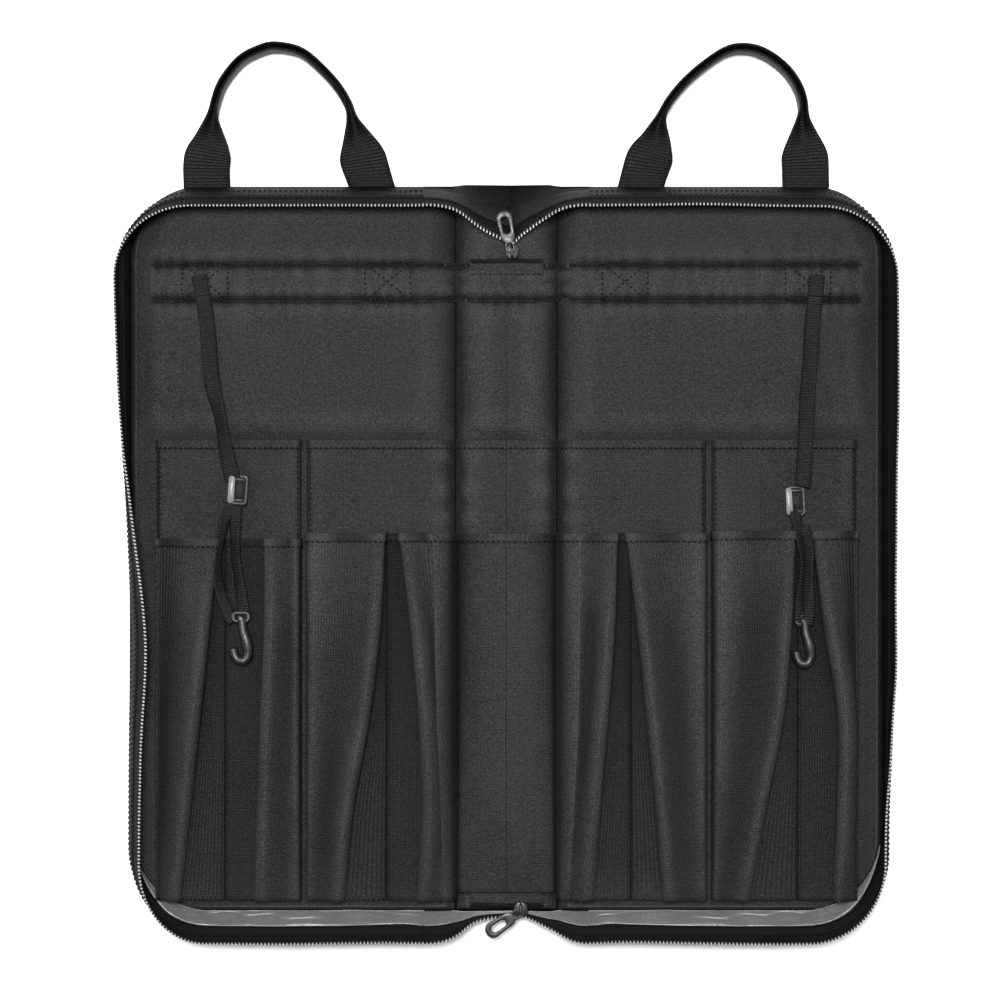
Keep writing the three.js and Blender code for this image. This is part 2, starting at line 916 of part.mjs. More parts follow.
addSpinePanels();
addSpinePockets();
addEndTab(1, "top_end_tab");
addEndTab(-1, "bottom_end_tab");
for (const [side, label] of [
  [-1, "left"],
  [1, "right"],
]) {
  addPanels(side, label);
  addWalls(side, label);
  addEndWeb(side, 1, `top_${label}_end_web`);
  addEndWeb(side, -1, `bottom_${label}_end_web`);
  addCoverPockets(side, label);
  addHandle(side, label);
  addStrap(label);
  addStrapLoop(label);
  addAdjuster(label);
  addHook(label);
}
for (const label of ["top", "bottom"]) {
  addSlider(label);
  addPull(label);
}

export default model;
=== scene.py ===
import json
import math

import bpy
import numpy as np
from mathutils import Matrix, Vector


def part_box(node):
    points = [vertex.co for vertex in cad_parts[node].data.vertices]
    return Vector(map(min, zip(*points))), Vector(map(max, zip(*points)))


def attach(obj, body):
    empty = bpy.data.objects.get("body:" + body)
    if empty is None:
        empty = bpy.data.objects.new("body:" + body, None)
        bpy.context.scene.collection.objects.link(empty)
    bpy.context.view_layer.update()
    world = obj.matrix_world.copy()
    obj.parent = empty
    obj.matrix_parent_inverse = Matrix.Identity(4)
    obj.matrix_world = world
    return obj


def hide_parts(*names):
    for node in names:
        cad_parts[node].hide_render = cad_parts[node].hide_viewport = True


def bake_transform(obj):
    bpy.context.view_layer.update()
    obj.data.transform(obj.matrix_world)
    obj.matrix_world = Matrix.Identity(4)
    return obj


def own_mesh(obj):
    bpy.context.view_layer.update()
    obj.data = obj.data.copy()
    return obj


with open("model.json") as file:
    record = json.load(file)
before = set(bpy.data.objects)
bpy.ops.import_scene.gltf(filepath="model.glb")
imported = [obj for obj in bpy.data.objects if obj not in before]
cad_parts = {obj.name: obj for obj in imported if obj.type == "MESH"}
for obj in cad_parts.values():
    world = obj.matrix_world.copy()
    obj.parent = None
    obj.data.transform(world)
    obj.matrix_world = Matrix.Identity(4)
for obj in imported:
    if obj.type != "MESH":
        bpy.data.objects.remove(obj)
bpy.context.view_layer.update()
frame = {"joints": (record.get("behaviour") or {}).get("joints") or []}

bl_info = {
    "name": "Drum stick bag",
    "version": (1, 0, 0),
    "blender": (4, 5, 0),
    "location": "View3D > Sidebar > Stick Bag",
    "description": "Soft goods, zips, straps and studio for an open padded drum stick bag",
    "category": "Object",
}

SIDES = {"left": -1.0, "right": 1.0}

# ---------- places taken from the frame ----------


def low(node):
    """The corner of a node's box with the smallest X, Y and Z."""
    return np.array(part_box(node)[0])


def high(node):
    """The corner of a node's box with the largest X, Y and Z."""
    return np.array(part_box(node)[1])


JOINTS = {joint["name"]: joint for joint in frame["joints"]}
FOLD_X = abs(JOINTS["right_cover_fold"]["pos_m"][0])
EDGE_Y = high("left_outer_shell")[1]
REACH_X = high("right_outer_shell")[0]
LINING_Z = high("left_lining")[2]
PLEAT_Z = low("left_lower_inner_pocket")[2]
PLEAT_TOP = high("left_lower_inner_pocket")[2]
SLEEVE_MOUTH_Y = high("left_upper_inner_pocket")[1]
STICK_MOUTH_Y = high("left_lower_inner_pocket")[1]
POCKET_FOOT_Y = low("left_lower_inner_pocket")[1]
ZIP_Z = high("left_zip_coil")[2]
WALL_END_X = low("right_gusset")[0]


# ---------- settings a user would change ----------


def length(name, description, default):
    return bpy.props.FloatProperty(
        name=name, description=description, default=default, unit="LENGTH", precision=5
    )


def share(name, description, default):
    return bpy.props.FloatProperty(
        name=name, description=description, default=default, min=0.0, subtype="FACTOR"
    )


def colour(name, description, default):
    return bpy.props.FloatVectorProperty(
        name=name, description=description, default=default, subtype="COLOR", min=0.0, max=1.0
    )


class StickBagSizes(bpy.types.PropertyGroup):
    """Sizes of the bag's soft parts."""

    top_radius: length("Top corner radius", "Radius of the covers' upper corners", 0.045)
    bottom_radius: length("Bottom corner radius", "Radius of the covers' lower corners", 0.050)
    wall_lean: share("Wall lean", "How far the walls lean down the bag for each unit of height", 0.5)
    cloth: length("Cloth", "Thickness of the pocket cloth", 0.0009)
    pad_puff: length("Pad puff", "How far a pad swells between its edges", 0.0011)
    pleat_depth: length("Pleat depth", "Cloth folded under at the foot of each pleat", 0.007)
    tooth_pitch: length("Tooth pitch", "Distance between the zip's teeth", 0.0023)
    stitch_pitch: length("Stitch pitch", "Distance between stitches", 0.0033)
    webbing_width: length("Webbing width", "Width of the carrying handles' webbing", 0.030)
    strap_width: length("Strap width", "Width of the hook straps", 0.010)


class StickBagColours(bpy.types.PropertyGroup):
    """Colours of the bag's finishes."""

    outer: colour("Outer cloth", "Woven outer cloth", (0.0036, 0.0036, 0.0041))
    lining: colour("Lining", "Cloth of the padded lining", (0.0165, 0.0165, 0.0178))
    pocket: colour("Pocket cloth", "Cloth of the pockets", (0.0155, 0.0155, 0.0168))
    satin: colour("Satin", "Shiny lining inside the walls", (0.095, 0.095, 0.100))
    webbing: colour("Webbing", "Handles' webbing", (0.0048, 0.0048, 0.0052))
    strap: colour("Strap", "Hook straps' webbing", (0.0065, 0.0065, 0.007))
    tape: colour("Tape", "Zip and binding tape", (0.0045, 0.0045, 0.0048))
    # the teeth's own colour is dark grey; this much lighter grey is partly painted highlight for the glints
    # on each tooth
    teeth: colour("Teeth", "Zip teeth", (0.44, 0.44, 0.455))
    metal: colour("Black metal", "Hooks, sliders and pulls", (0.007, 0.007, 0.008))
    # pale grey oval plate: painted highlight for the light caught on each adjuster's edge
    side_highlight_plate: colour("Side plate", "Oval plate on each adjuster", (0.16, 0.16, 0.165))
    thread: colour("Thread", "Stitching", (0.0035, 0.0035, 0.0038))
    floor: colour("Floor", "Studio floor", (0.95, 0.95, 0.95))


def sizes():
    """The settings for sizes in the current scene."""
    return bpy.context.scene.stick_bag_sizes


def colours():
    """The settings for colours in the current scene."""
    return bpy.context.scene.stick_bag_colours


# ---------- finishes ----------

FINISHES = {}


class NodeSketch:
    """A short hand for adding and linking a material's nodes."""

    def __init__(self, name):
        self.material = bpy.data.materials.new(name)
        self.material.use_nodes = True
        self.tree = self.material.node_tree
        self.shader = self.tree.nodes["Principled BSDF"]

    def add(self, kind, inputs=None, **settings):
        node = self.tree.nodes.new(kind)
        for key, value in settings.items():
            setattr(node, key, value)
        for key, value in (inputs or {}).items():
            if isinstance(value, bpy.types.NodeSocket):
                self.tree.links.new(value, node.inputs[key])
            else:
                node.inputs[key].default_value = value
        return node

    def math(self, operation, a, b=0.0):
        return self.add("ShaderNodeMath", {0: a, 1: b}, operation=operation).outputs[0]

    def feed(self, socket, value):
        self.tree.links.new(value, self.shader.inputs[socket])


def shade(rgb, factor):
    """A colour made lighter or darker by a factor, with full opacity."""
    return tuple(min(1.0, c * factor) for c in rgb) + (1.0,)


def place_sockets(sketch, on_surface):
    """The two coordinates that a weave follows: the piece's own flat cloth, or the row's X and Y."""
    coordinates = sketch.add("ShaderNodeTexCoord")
    place = coordinates.outputs["UV" if on_surface else "Object"]
    parts = sketch.add("ShaderNodeSeparateXYZ", {0: place})
    return coordinates, parts.outputs[0], parts.outputs[1]


def thread_wave(sketch, along, pitch):
    """A rounded wave of one thread per pitch: one plus the sine, halved."""
    turn = sketch.math("MULTIPLY", along, 2 * math.pi / pitch)
    wave = sketch.add("ShaderNodeMath", {0: sketch.math("SINE", turn), 1: 0.5, 2: 0.5},
                      operation="MULTIPLY_ADD")
    return wave.outputs[0]


def cloth_finish(name, rgb, pitch=0.0011, rough=0.82, sheen=0.08, depth=0.00042, on_surface=True,
                 mottle=0.6, weave="plain", crease=0.0, spec=0.25, threads=0.5):
    """Woven cloth: crossed thread waves for height, slow noise for colour and for fine creases; the
    colour is darkened in hollows (painted shade) and lightened on ridges (painted light).
    """
    if name in FINISHES:
        return FINISHES[name]
    sketch = NodeSketch(name)
    coordinates, u, v = place_sockets(sketch, on_surface)
    if weave == "rib":
        height = thread_wave(sketch, v, pitch)
    elif weave == "twill":
        height = thread_wave(sketch, sketch.math("ADD", u, v), pitch * 1.3)
    else:
        height = sketch.math("MULTIPLY", thread_wave(sketch, u, pitch), thread_wave(sketch, v, pitch))
    object_place = coordinates.outputs["Object"]
    grain = sketch.add("ShaderNodeTexNoise", {"Vector": object_place, "Scale": 1000.0, "Detail": 1.0})
    slow = sketch.add("ShaderNodeTexNoise", {"Vector": object_place, "Scale": 24.0, "Detail": 4.0})
    tone = sketch.math("MULTIPLY", sketch.math("SUBTRACT", grain.outputs["Fac"], 0.5), 2.6)
    tone = sketch.math("ADD", tone, sketch.math("MULTIPLY", slow.outputs["Fac"], 0.9))
    tone = sketch.math("ADD", tone, sketch.math("MULTIPLY", height, threads))
    middle = 0.45 + threads * (0.5 if weave != "plain" else 0.25)
    ramp = sketch.add("ShaderNodeMapRange", {0: tone, 1: middle - 0.5, 2: middle + 0.5, 3: 0.0, 4: 1.0})
    mix = sketch.add("ShaderNodeMix", {0: ramp.outputs[0]}, data_type="RGBA")
    mix.inputs[6].default_value = shade(rgb, 1 - mottle)
    mix.inputs[7].default_value = shade(rgb, 1 + mottle)
    # painted shade and painted light: the colour is scaled up to 1.75 on ridges and down to 0.25 in hollows,
    # from the piece's hollow attribute
    hollow = sketch.add("ShaderNodeAttribute", {}, attribute_name="hollow")
    wear_and_painted_shading = sketch.add("ShaderNodeMapRange", {0: hollow.outputs["Fac"], 1: -1.0, 2: 1.0, 3: 1.75, 4: 0.25})
    painted_shading_colour = sketch.add("ShaderNodeVectorMath", {0: mix.outputs[2], "Scale": wear_and_painted_shading.outputs[0]},
                      operation="SCALE")
    sketch.feed("Base Color", painted_shading_colour.outputs[0])
    rough_map = sketch.add("ShaderNodeMapRange", {0: slow.outputs["Fac"], 1: 0.3, 2: 0.7,
                                                  3: rough - 0.06, 4: rough + 0.06})
    sketch.feed("Roughness", rough_map.outputs[0])
    rough_grain = sketch.math("MULTIPLY", grain.outputs["Fac"], 1.2)
    height = sketch.math("ADD", height, rough_grain)
    bump = sketch.add("ShaderNodeBump", {"Height": height, "Distance": depth, "Strength": 1.0})
    if crease > 0:
        folds = sketch.add("ShaderNodeTexNoise", {"Vector": object_place, "Scale": 55.0,
                                                  "Detail": 3.0, "Distortion": 0.8})
        soft = sketch.add("ShaderNodeBump", {"Height": folds.outputs["Fac"], "Distance": crease,
                                             "Strength": 0.6})
        sketch.tree.links.new(soft.outputs[0], bump.inputs["Normal"])
    sketch.feed("Normal", bump.outputs[0])
    sketch.shader.inputs["Sheen Weight"].default_value = sheen
    sketch.shader.inputs["Sheen Roughness"].default_value = 0.45
    sketch.shader.inputs["Specular IOR Level"].default_value = spec
    FINISHES[name] = sketch.material
    return sketch.material


def hard_finish(name, rgb, rough, metallic, grain=0.00004, wear_and_painted_shading=0.25):
    """A moulded or coated finish: worn lighter in patches, with a fine uneven surface."""
    if name in FINISHES:
        return FINISHES[name]
    sketch = NodeSketch(name)
    place = sketch.add("ShaderNodeTexCoord").outputs["Object"]
    noise = sketch.add("ShaderNodeTexNoise", {"Vector": place, "Scale": 420.0, "Detail": 4.0})
    mix = sketch.add("ShaderNodeMix", {0: noise.outputs["Fac"]}, data_type="RGBA")
    mix.inputs[6].default_value = shade(rgb, 1 - wear_and_painted_shading)
    mix.inputs[7].default_value = shade(rgb, 1 + wear_and_painted_shading)
    sketch.feed("Base Color", mix.outputs[2])
    rough_map = sketch.add("ShaderNodeMapRange", {0: noise.outputs["Fac"], 1: 0.3, 2: 0.7,
                                                  3: rough * 0.75, 4: rough * 1.35})
    sketch.feed("Roughness", rough_map.outputs[0])
    bump = sketch.add("ShaderNodeBump", {"Height": noise.outputs["Fac"], "Distance": grain})
    sketch.feed("Normal", bump.outputs[0])
    sketch.shader.inputs["Metallic"].default_value = metallic
    FINISHES[name] = sketch.material
    return sketch.material


def outer_cloth():
    return cloth_finish("outer_cloth", colours().outer, pitch=0.0013, rough=0.62, sheen=0.0, spec=0.10)


def outer_cloth_flat():
    return cloth_finish("outer_cloth_flat", colours().outer, pitch=0.0013, rough=0.62, sheen=0.0,
                        spec=0.10, on_surface=False)


def lining_cloth():
    return cloth_finish("lining_cloth", colours().lining, pitch=0.0013, rough=0.60, sheen=0.02,
                        crease=0.0009, spec=0.2)


def pocket_cloth():
    return cloth_finish("pocket_cloth", colours().pocket, pitch=0.0013, rough=0.58, sheen=0.02,
                        crease=0.0009, spec=0.2)


def satin_lining():
    return cloth_finish("satin_lining", colours().satin, pitch=0.0006, rough=0.34, sheen=0.5,
                        depth=0.00005, crease=0.0025, spec=0.8, mottle=0.25, threads=0.1)


def handle_webbing():
    return cloth_finish("handle_webbing", colours().webbing, pitch=0.0021, rough=0.6, sheen=0.0,
                        depth=0.0005, weave="rib", spec=0.2, threads=0.9)


def strap_webbing():
    return cloth_finish("strap_webbing", colours().strap, pitch=0.0018, rough=0.6, sheen=0.0,
                        depth=0.0004, weave="rib", spec=0.2, threads=0.9)


def binding_tape():
    return cloth_finish("binding_tape", colours().tape, pitch=0.0020, rough=0.66, sheen=0.0,
                        depth=0.0004, weave="twill", spec=0.22, threads=0.9)


def zip_tape_cloth():
    return cloth_finish("zip_tape_cloth", colours().tape, pitch=0.0012, rough=0.78, weave="rib",
                        sheen=0.0, spec=0.15)


def thread_finish():
    return cloth_finish("thread", colours().thread, pitch=0.0005, rough=0.5, on_surface=False,
                        sheen=0.0, spec=0.2)


def foam_finish():
    return cloth_finish("foam", (0.03, 0.03, 0.034), pitch=0.002, rough=0.95, on_surface=False)


def black_metal():
    return hard_finish("black_metal", colours().metal, 0.42, 0.0)


def black_plastic():
    return hard_finish("black_plastic", colours().metal, 0.5, 0.0)


def side_highlight_finish():
    # painted highlight: finish of the pale plate that stands for light on the adjuster's edge
    return hard_finish("side_highlight_plate", colours().side_highlight_plate, 0.4, 0.2)


def teeth_glint_finish():
    # light grey: the teeth's dark colour lightened as painted highlight for their glints
    return hard_finish("zip_teeth", colours().teeth, 0.36, 0.55, wear_and_painted_shading=0.2)


# ---------- surfaces as grids ----------


def arc_lengths(points, axis):
    """Distance along a grid's rows or columns, averaged across the other way."""
    steps = np.linalg.norm(np.diff(points, axis=axis), axis=2).mean(axis=1 - axis)
    return np.concatenate([[0.0], np.cumsum(steps)])


def facing_out(vertices, faces):
    """The faces, all turned over if the solid they close has a negative volume."""
    vertices = np.asarray(vertices, float)
    middle = vertices.mean(axis=0)
    volume = 0.0
    for size in {len(face) for face in faces}:
        corners = vertices[np.array([face for face in faces if len(face) == size])] - middle
        for k in range(1, size - 1):
            turned = np.cross(corners[:, k], corners[:, k + 1])
            volume += float(np.einsum("ij,ij->", corners[:, 0], turned))
    return faces if volume > 0 else [face[::-1] for face in faces]


def put_mesh(name, vertices, faces, material, uv=None, smooth=True):
    """An object from points and faces, with its faces outward and the piece's own flat UV."""
    faces = facing_out(vertices, [list(map(int, face)) for face in faces])
    mesh = bpy.data.meshes.new(name)
    mesh.from_pydata(np.asarray(vertices, float).tolist(), [], faces)
    if uv is not None:
        loops = np.zeros(len(mesh.loops), np.int32)
        mesh.loops.foreach_get("vertex_index", loops)
        layer = mesh.uv_layers.new(name="cloth")
        layer.data.foreach_set("uv", uv[loops].astype(np.float32).ravel())
    mesh.polygons.foreach_set("use_smooth", np.full(len(mesh.polygons), smooth))
    mesh.materials.append(material)
    mesh.update()
    piece = bpy.data.objects.new(name, mesh)
    bpy.context.scene.collection.objects.link(piece)
    return piece


def quad_faces(rows, columns, wrap=False):
    """Corner numbers of a grid's quads, counter-clockwise seen from rows cross columns."""
    r = np.arange(rows - 1)
    c = np.arange(columns if wrap else columns - 1)
    r, c = np.meshgrid(r, c, indexing="ij")
    nxt = (c + 1) % columns
    quads = [r * columns + c, (r + 1) * columns + c, (r + 1) * columns + nxt, r * columns + nxt]
    return np.stack(quads, axis=-1).reshape(-1, 4)


def grid_normals(points):
    """Unit normals of a grid: the cross product of its steps down the rows and across the columns."""
    down = np.gradient(points, axis=0)
    across = np.gradient(points, axis=1)
    normals = np.cross(down, across)
    return normals / np.maximum(np.linalg.norm(normals, axis=2, keepdims=True), 1e-12)


def hollows(points, reach, depth):
    """How far each point of a level sheet lies in a hollow (up to 1) or on a ridge (down to -1): the
    mean height over reach to all sides, less the point's own height, over depth, and more where the
    cloth is tucked well below its row's highest place. The cloth's colour is painted lighter on
    ridges (painted light) and darker in hollows and tucks (painted shade)."""
    height = points[..., 2]
    mean = height
    for axis in (0, 1):
        count = height.shape[axis]
        step = max(float(arc_lengths(points, axis)[-1]) / (count - 1), 0.0002)
        half = int(np.clip(round(reach / step), 1, count - 1))
        around = [(half, half) if k == axis else (0, 0) for k in (0, 1)]
        running = np.cumsum(np.pad(mean, around, mode="reflect"), axis=axis)
        start = np.take(running, [0], axis=axis) * 0
        running = np.concatenate([start, running], axis=axis)
        far = np.take(running, np.arange(2 * half + 1, 2 * half + 1 + count), axis=axis)
        near = np.take(running, np.arange(count), axis=axis)
        mean = (far - near) / (2 * half + 1)
    tucked = 0.8 * smooth(height.max(axis=1, keepdims=True) - height, 0.0032, 0.0085)
    return np.clip((mean - height) / depth + tucked, -1.0, 1.0)


def cloth_shell(name, points, thickness, material, turn=False, hollow=(0.0100, 0.0011)):
    """A sheet given thickness: each grid point is moved half the thickness to both sides along the
    surface's normal, and a rim joins the two skins. Its flat-cloth UV is in metres."""
    if turn:
        points = points[:, ::-1]
    rows, columns = points.shape[:2]
    normals = grid_normals(points)
    outer = points + normals * thickness / 2
    inner = points - normals * thickness / 2
    count = rows * columns
    faces = quad_faces(rows, columns)
    index = np.arange(count).reshape(rows, columns)
    rim = np.concatenate([index[0, :-1], index[:-1, -1], index[-1, :0:-1], index[:0:-1, 0]])
    after = np.roll(rim, -1)
    sides = np.stack([rim, after, after + count, rim + count], axis=-1)
    v, u = np.meshgrid(arc_lengths(points, 0), arc_lengths(points, 1), indexing="ij")
    uv = np.stack([u.ravel(), v.ravel()], axis=-1)
    vertices = np.concatenate([outer.reshape(-1, 3), inner.reshape(-1, 3)])
    everything = np.concatenate([faces, faces[:, ::-1] + count, sides])
    piece = put_mesh(name, vertices, everything, material, np.concatenate([uv, uv]))
    # painted shade and painted light: level sheets get a hollow attribute that darkens their colour in
    # hollows and lightens it on ridges
    if abs(normals[..., 2]).mean() > 0.6:
        dark = hollows(points, *hollow).ravel()
        layer = piece.data.attributes.new("hollow", "FLOAT", "POINT")
        layer.data.foreach_set("value", np.concatenate([dark, dark]).astype(np.float32))
    return piece


def swept(name, path, across, up, section, material, closed=False):
    """A closed bar: the flat section is carried along the path on the axes across and up, and its
    ends are closed by a point in the middle of each. The section may change from row to row."""
    section = np.broadcast_to(section, (len(path),) + section.shape[-2:])
    points = (path[:, None] + across[:, None] * section[..., :1] + up[:, None] * section[..., 1:])
    rows, columns = points.shape[:2]
    faces = quad_faces(rows, columns, wrap=True)
    ring = np.concatenate([points, points[:, :1]], axis=1)
    v, u = np.meshgrid(arc_lengths(points, 0), arc_lengths(ring, 1)[:-1], indexing="ij")
    uv = np.stack([u.ravel(), v.ravel()], axis=-1)
    vertices = points.reshape(-1, 3)
    c = np.arange(columns)
    nxt = (c + 1) % columns
    if closed:
        last = (rows - 1) * columns
        joint = np.stack([last + c, c, nxt, last + nxt], axis=-1)
        return put_mesh(name, vertices, np.concatenate([faces, joint]), material, uv)
    middles = np.stack([points[0].mean(0), points[-1].mean(0)])
    vertices = np.concatenate([vertices, middles])
    first, last = rows * columns, rows * columns + 1
    base = (rows - 1) * columns
    ends = np.stack([c, nxt, np.full(columns, first)], axis=-1).tolist()
    ends += np.stack([base + nxt, base + c, np.full(columns, last)], axis=-1).tolist()
    uv = np.concatenate([uv, uv[:1], uv[-1:]])
    return put_mesh(name, vertices, faces.tolist() + ends, material, uv)


def spline(points, count, closed=False):
    """Even points on a smooth curve through the given ones (Catmull-Rom, spaced by arc length)."""
    points = np.asarray(points, float)
    if closed:
        padded = np.concatenate([points[-1:], points, points[:2]])
    else:
        padded = np.concatenate([2 * points[:1] - points[1:2], points, 2 * points[-1:] - points[-2:-1]])
    spans = len(padded) - 3
    t = np.linspace(0, spans, spans * 24 + 1)
    i = np.minimum(t.astype(int), spans - 1)
    f = (t - i)[:, None]
    p0, p1, p2, p3 = padded[i], padded[i + 1], padded[i + 2], padded[i + 3]
    curve = 0.5 * (2 * p1 + (p2 - p0) * f + (2 * p0 - 5 * p1 + 4 * p2 - p3) * f**2
                   + (3 * p1 - p0 - 3 * p2 + p3) * f**3)
    return even(curve, count)


def even(curve, count):
    """The same line, resampled to points at equal distances."""
    steps = np.linalg.norm(np.diff(curve, axis=0), axis=1)
    s = np.concatenate([[0.0], np.cumsum(steps)])
    wanted = np.linspace(0, s[-1], count)
    return np.stack([np.interp(wanted, s, curve[:, k]) for k in range(curve.shape[1])], axis=-1)


def rounded_run(control, count):
    """Quadratic B-spline through rows of control points (rows, points, 2): it keeps inside their
    corners, so a fold stays a fold. The ends are held."""
    padded = np.concatenate([2 * control[:, :1] - control[:, 1:2], control,
                             2 * control[:, -1:] - control[:, -2:-1]], axis=1)
    spans = padded.shape[1] - 2
    t = np.linspace(0, spans, count)
    i = np.minimum(t.astype(int), spans - 1)
    f = (t - i)[None, :, None]
    a, b, c = padded[:, i], padded[:, i + 1], padded[:, i + 2]
    return 0.5 * (1 - f) ** 2 * a + (0.5 + f - f**2) * b + 0.5 * f**2 * c


def smooth(x, a, b):
    """Zero below a, one above b, and a cubic ease of three squared less two cubed between them."""
    t = np.clip((np.asarray(x, float) - a) / (b - a), 0, 1)
    return t * t * (3 - 2 * t)


def ripple(a, b, seed, scale=1.0):
    """Slow unevenness from -1 to 1: a sum of crossed sines with phases taken from the seed."""
    phases = np.random.default_rng(seed).uniform(0, 2 * np.pi, (5, 2))
    total = 0.0
    for k, (p, q) in enumerate(phases):
        rate = scale * (14 + 11 * k)
        slant = 0.6 * math.cos(p * 3)
        total = total + np.sin(rate * (a + slant * b) + p) * np.cos(rate * (b - slant * a) + q) / (1 + k)
    return total / 1.6


# ---------- small repeated pieces ----------


def scattered(name, vertices, faces, places, along, up, material):
    """Many copies of one small shape: its X, Y, Z are turned to along, up cross along, and up."""
    along = along / np.linalg.norm(along, axis=1, keepdims=True)
    side = np.cross(up, along)
    side = side / np.maximum(np.linalg.norm(side, axis=1, keepdims=True), 1e-12)
    upright = np.cross(along, side)
    v = np.asarray(vertices)
    points = (places[:, None] + v[None, :, :1] * along[:, None] + v[None, :, 1:2] * side[:, None]
              + v[None, :, 2:] * upright[:, None])
    every = np.asarray(faces)[None] + (np.arange(len(places)) * len(v))[:, None, None]
    return put_mesh(name, points.reshape(-1, 3), every.reshape(-1, every.shape[-1]), material)


def bead(length_x, width_y, height_z, rings=4, around=6):
    """A closed bead: rings of points between two poles, as triangles."""
    theta = np.pi * np.arange(1, rings) / rings
    phi = 2 * np.pi * np.arange(around) / around
    x = np.cos(theta)[:, None] + 0 * phi[None]
    r = np.sin(theta)[:, None] ** 0.6
    body = np.stack([x, r * np.cos(phi)[None], r * np.sin(phi)[None]], axis=-1).reshape(-1, 3)
    vertices = np.concatenate([[[1, 0, 0]], body, [[-1, 0, 0]]])
    vertices = vertices * np.array([length_x, width_y, height_z]) / 2
    faces = []
    for k in range(around):
        n = (k + 1) % around
        faces.append([0, 1 + k, 1 + n])
        for ring in range(rings - 2):
            a = 1 + ring * around
            faces.append([a + k, a + around + k, a + around + n])
            faces.append([a + k, a + around + n, a + n])
        last = 1 + (rings - 2) * around
        faces.append([last + k, len(vertices) - 1, last + n])
    return vertices, np.array(faces)


def stitch_row(path, up, pitch=None):
    """Middles and directions of the stitches along a line."""
    pitch = pitch or sizes().stitch_pitch
    steps = np.linalg.norm(np.diff(path, axis=0), axis=1)
    total = steps.sum()
    count = max(2, int(total / pitch))
    points = even(path, count * 2 + 1)
    return points[1::2], points[2::2] - points[0:-1:2], np.broadcast_to(up, (count, 3))


def sew(name, rows, body, proud=0.0003, size=(0.0023, 0.0010, 0.0008)):
    """One piece holding every stitch of the given rows."""
    middles = np.concatenate([r[0] for r in rows])
    along = np.concatenate([r[1] for r in rows])
    up = np.concatenate([r[2] for r in rows])
    shape = bead(*size, rings=3, around=5)
    piece = scattered(name, *shape, middles + up * proud, along, up, thread_finish())
    if body:
        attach(piece, body)
    return piece


# ---------- the run of a cover's edge, and the wall that stands on it ----------


def cover_edge(side, count, start_x=None, inset=0.0):
    """Points and outward directions round a cover's free edges, from the fold at the top, round both
    corners, to the fold at the bottom: straight runs joined by quarter circles."""
    start_x = FOLD_X if start_x is None else start_x
    reach, top = REACH_X - inset, EDGE_Y - inset
    r1, r2 = sizes().top_radius - inset, sizes().bottom_radius - inset
    turn = np.linspace(0, np.pi / 2, 25)
    upper = np.stack([reach - r1 + r1 * np.sin(turn), top - r1 + r1 * np.cos(turn)], axis=-1)
    lower = np.stack([reach - r2 + r2 * np.cos(turn), -top + r2 - r2 * np.sin(turn)], axis=-1)
    line = np.concatenate([[[start_x, top]], upper, lower, [[start_x, -top]]])
    line = even(line, count)
    tangent = np.gradient(line, axis=0)
    tangent /= np.linalg.norm(tangent, axis=1, keepdims=True)
    outward = np.stack([-tangent[:, 1], tangent[:, 0]], axis=-1)
    flip = np.array([side, 1.0])
    return line * flip, outward * flip


SIDE_FLARE = {
    # places down a side wall's foot, and how far the zip line stands outside the foot there
    -1.0: ((-0.200, -0.142, -0.105, -0.059, -0.024, 0.043, 0.087, 0.162, 0.220),
           (-0.0095, -0.0106, -0.0113, -0.0141, -0.0125, -0.0050, 0.0005, 0.0054, 0.0054)),
    1.0: ((-0.200, -0.153, -0.120, -0.087, -0.055, 0.010, 0.097, 0.181, 0.220),
          (-0.0030, -0.0024, 0.0001, 0.0020, 0.0039, 0.0043, 0.0052, 0.0052, 0.0050)),
}


def side_flare(side, y):
    """How far the zip line stands outside the foot of a side wall: the left wall falls inwards down
    the bag, the right one stays out."""
    places, reach = SIDE_FLARE[side]
    curve = spline(np.stack([places, reach], axis=-1), 120)
    return np.interp(y, curve[:, 0], curve[:, 1])


def wall_surface(label, shares, count=420, offset=0.0):
    """Grid of wall points: rows go round the cover, columns go up it by share of the zip's height.
    The wall leans down the bag as it rises, flares or falls in at the sides, and ripples."""
    side = SIDES[label]
    line, outward = cover_edge(side, count, WALL_END_X)
    q = np.asarray(shares, float)[None, :]
    z = q * ZIP_Z + 0 * line[:, :1]
    y = line[:, 1:2] - sizes().wall_lean * (z - LINING_Z * 0.2)
    flare = side_flare(side, line[:, 1])[:, None] * np.abs(outward[:, :1]) ** 1.5
    wave = ripple(line[:, :1], line[:, 1:2] + 0 * q, 3 if side < 0 else 4)
    ends = smooth(np.arange(count), 0, 14) * smooth(np.arange(count)[::-1], 0, 14)
    out = (flare * q**1.3 + 0.0014 * np.sin(np.pi * q) + 0.0011 * wave * q * ends[:, None] + offset)
    x = line[:, :1] + out * outward[:, :1]
    y = y + out * outward[:, 1:2]
    z = z + 0.0005 * wave * q * ends[:, None]
    return np.stack([x, y, z], axis=-1)


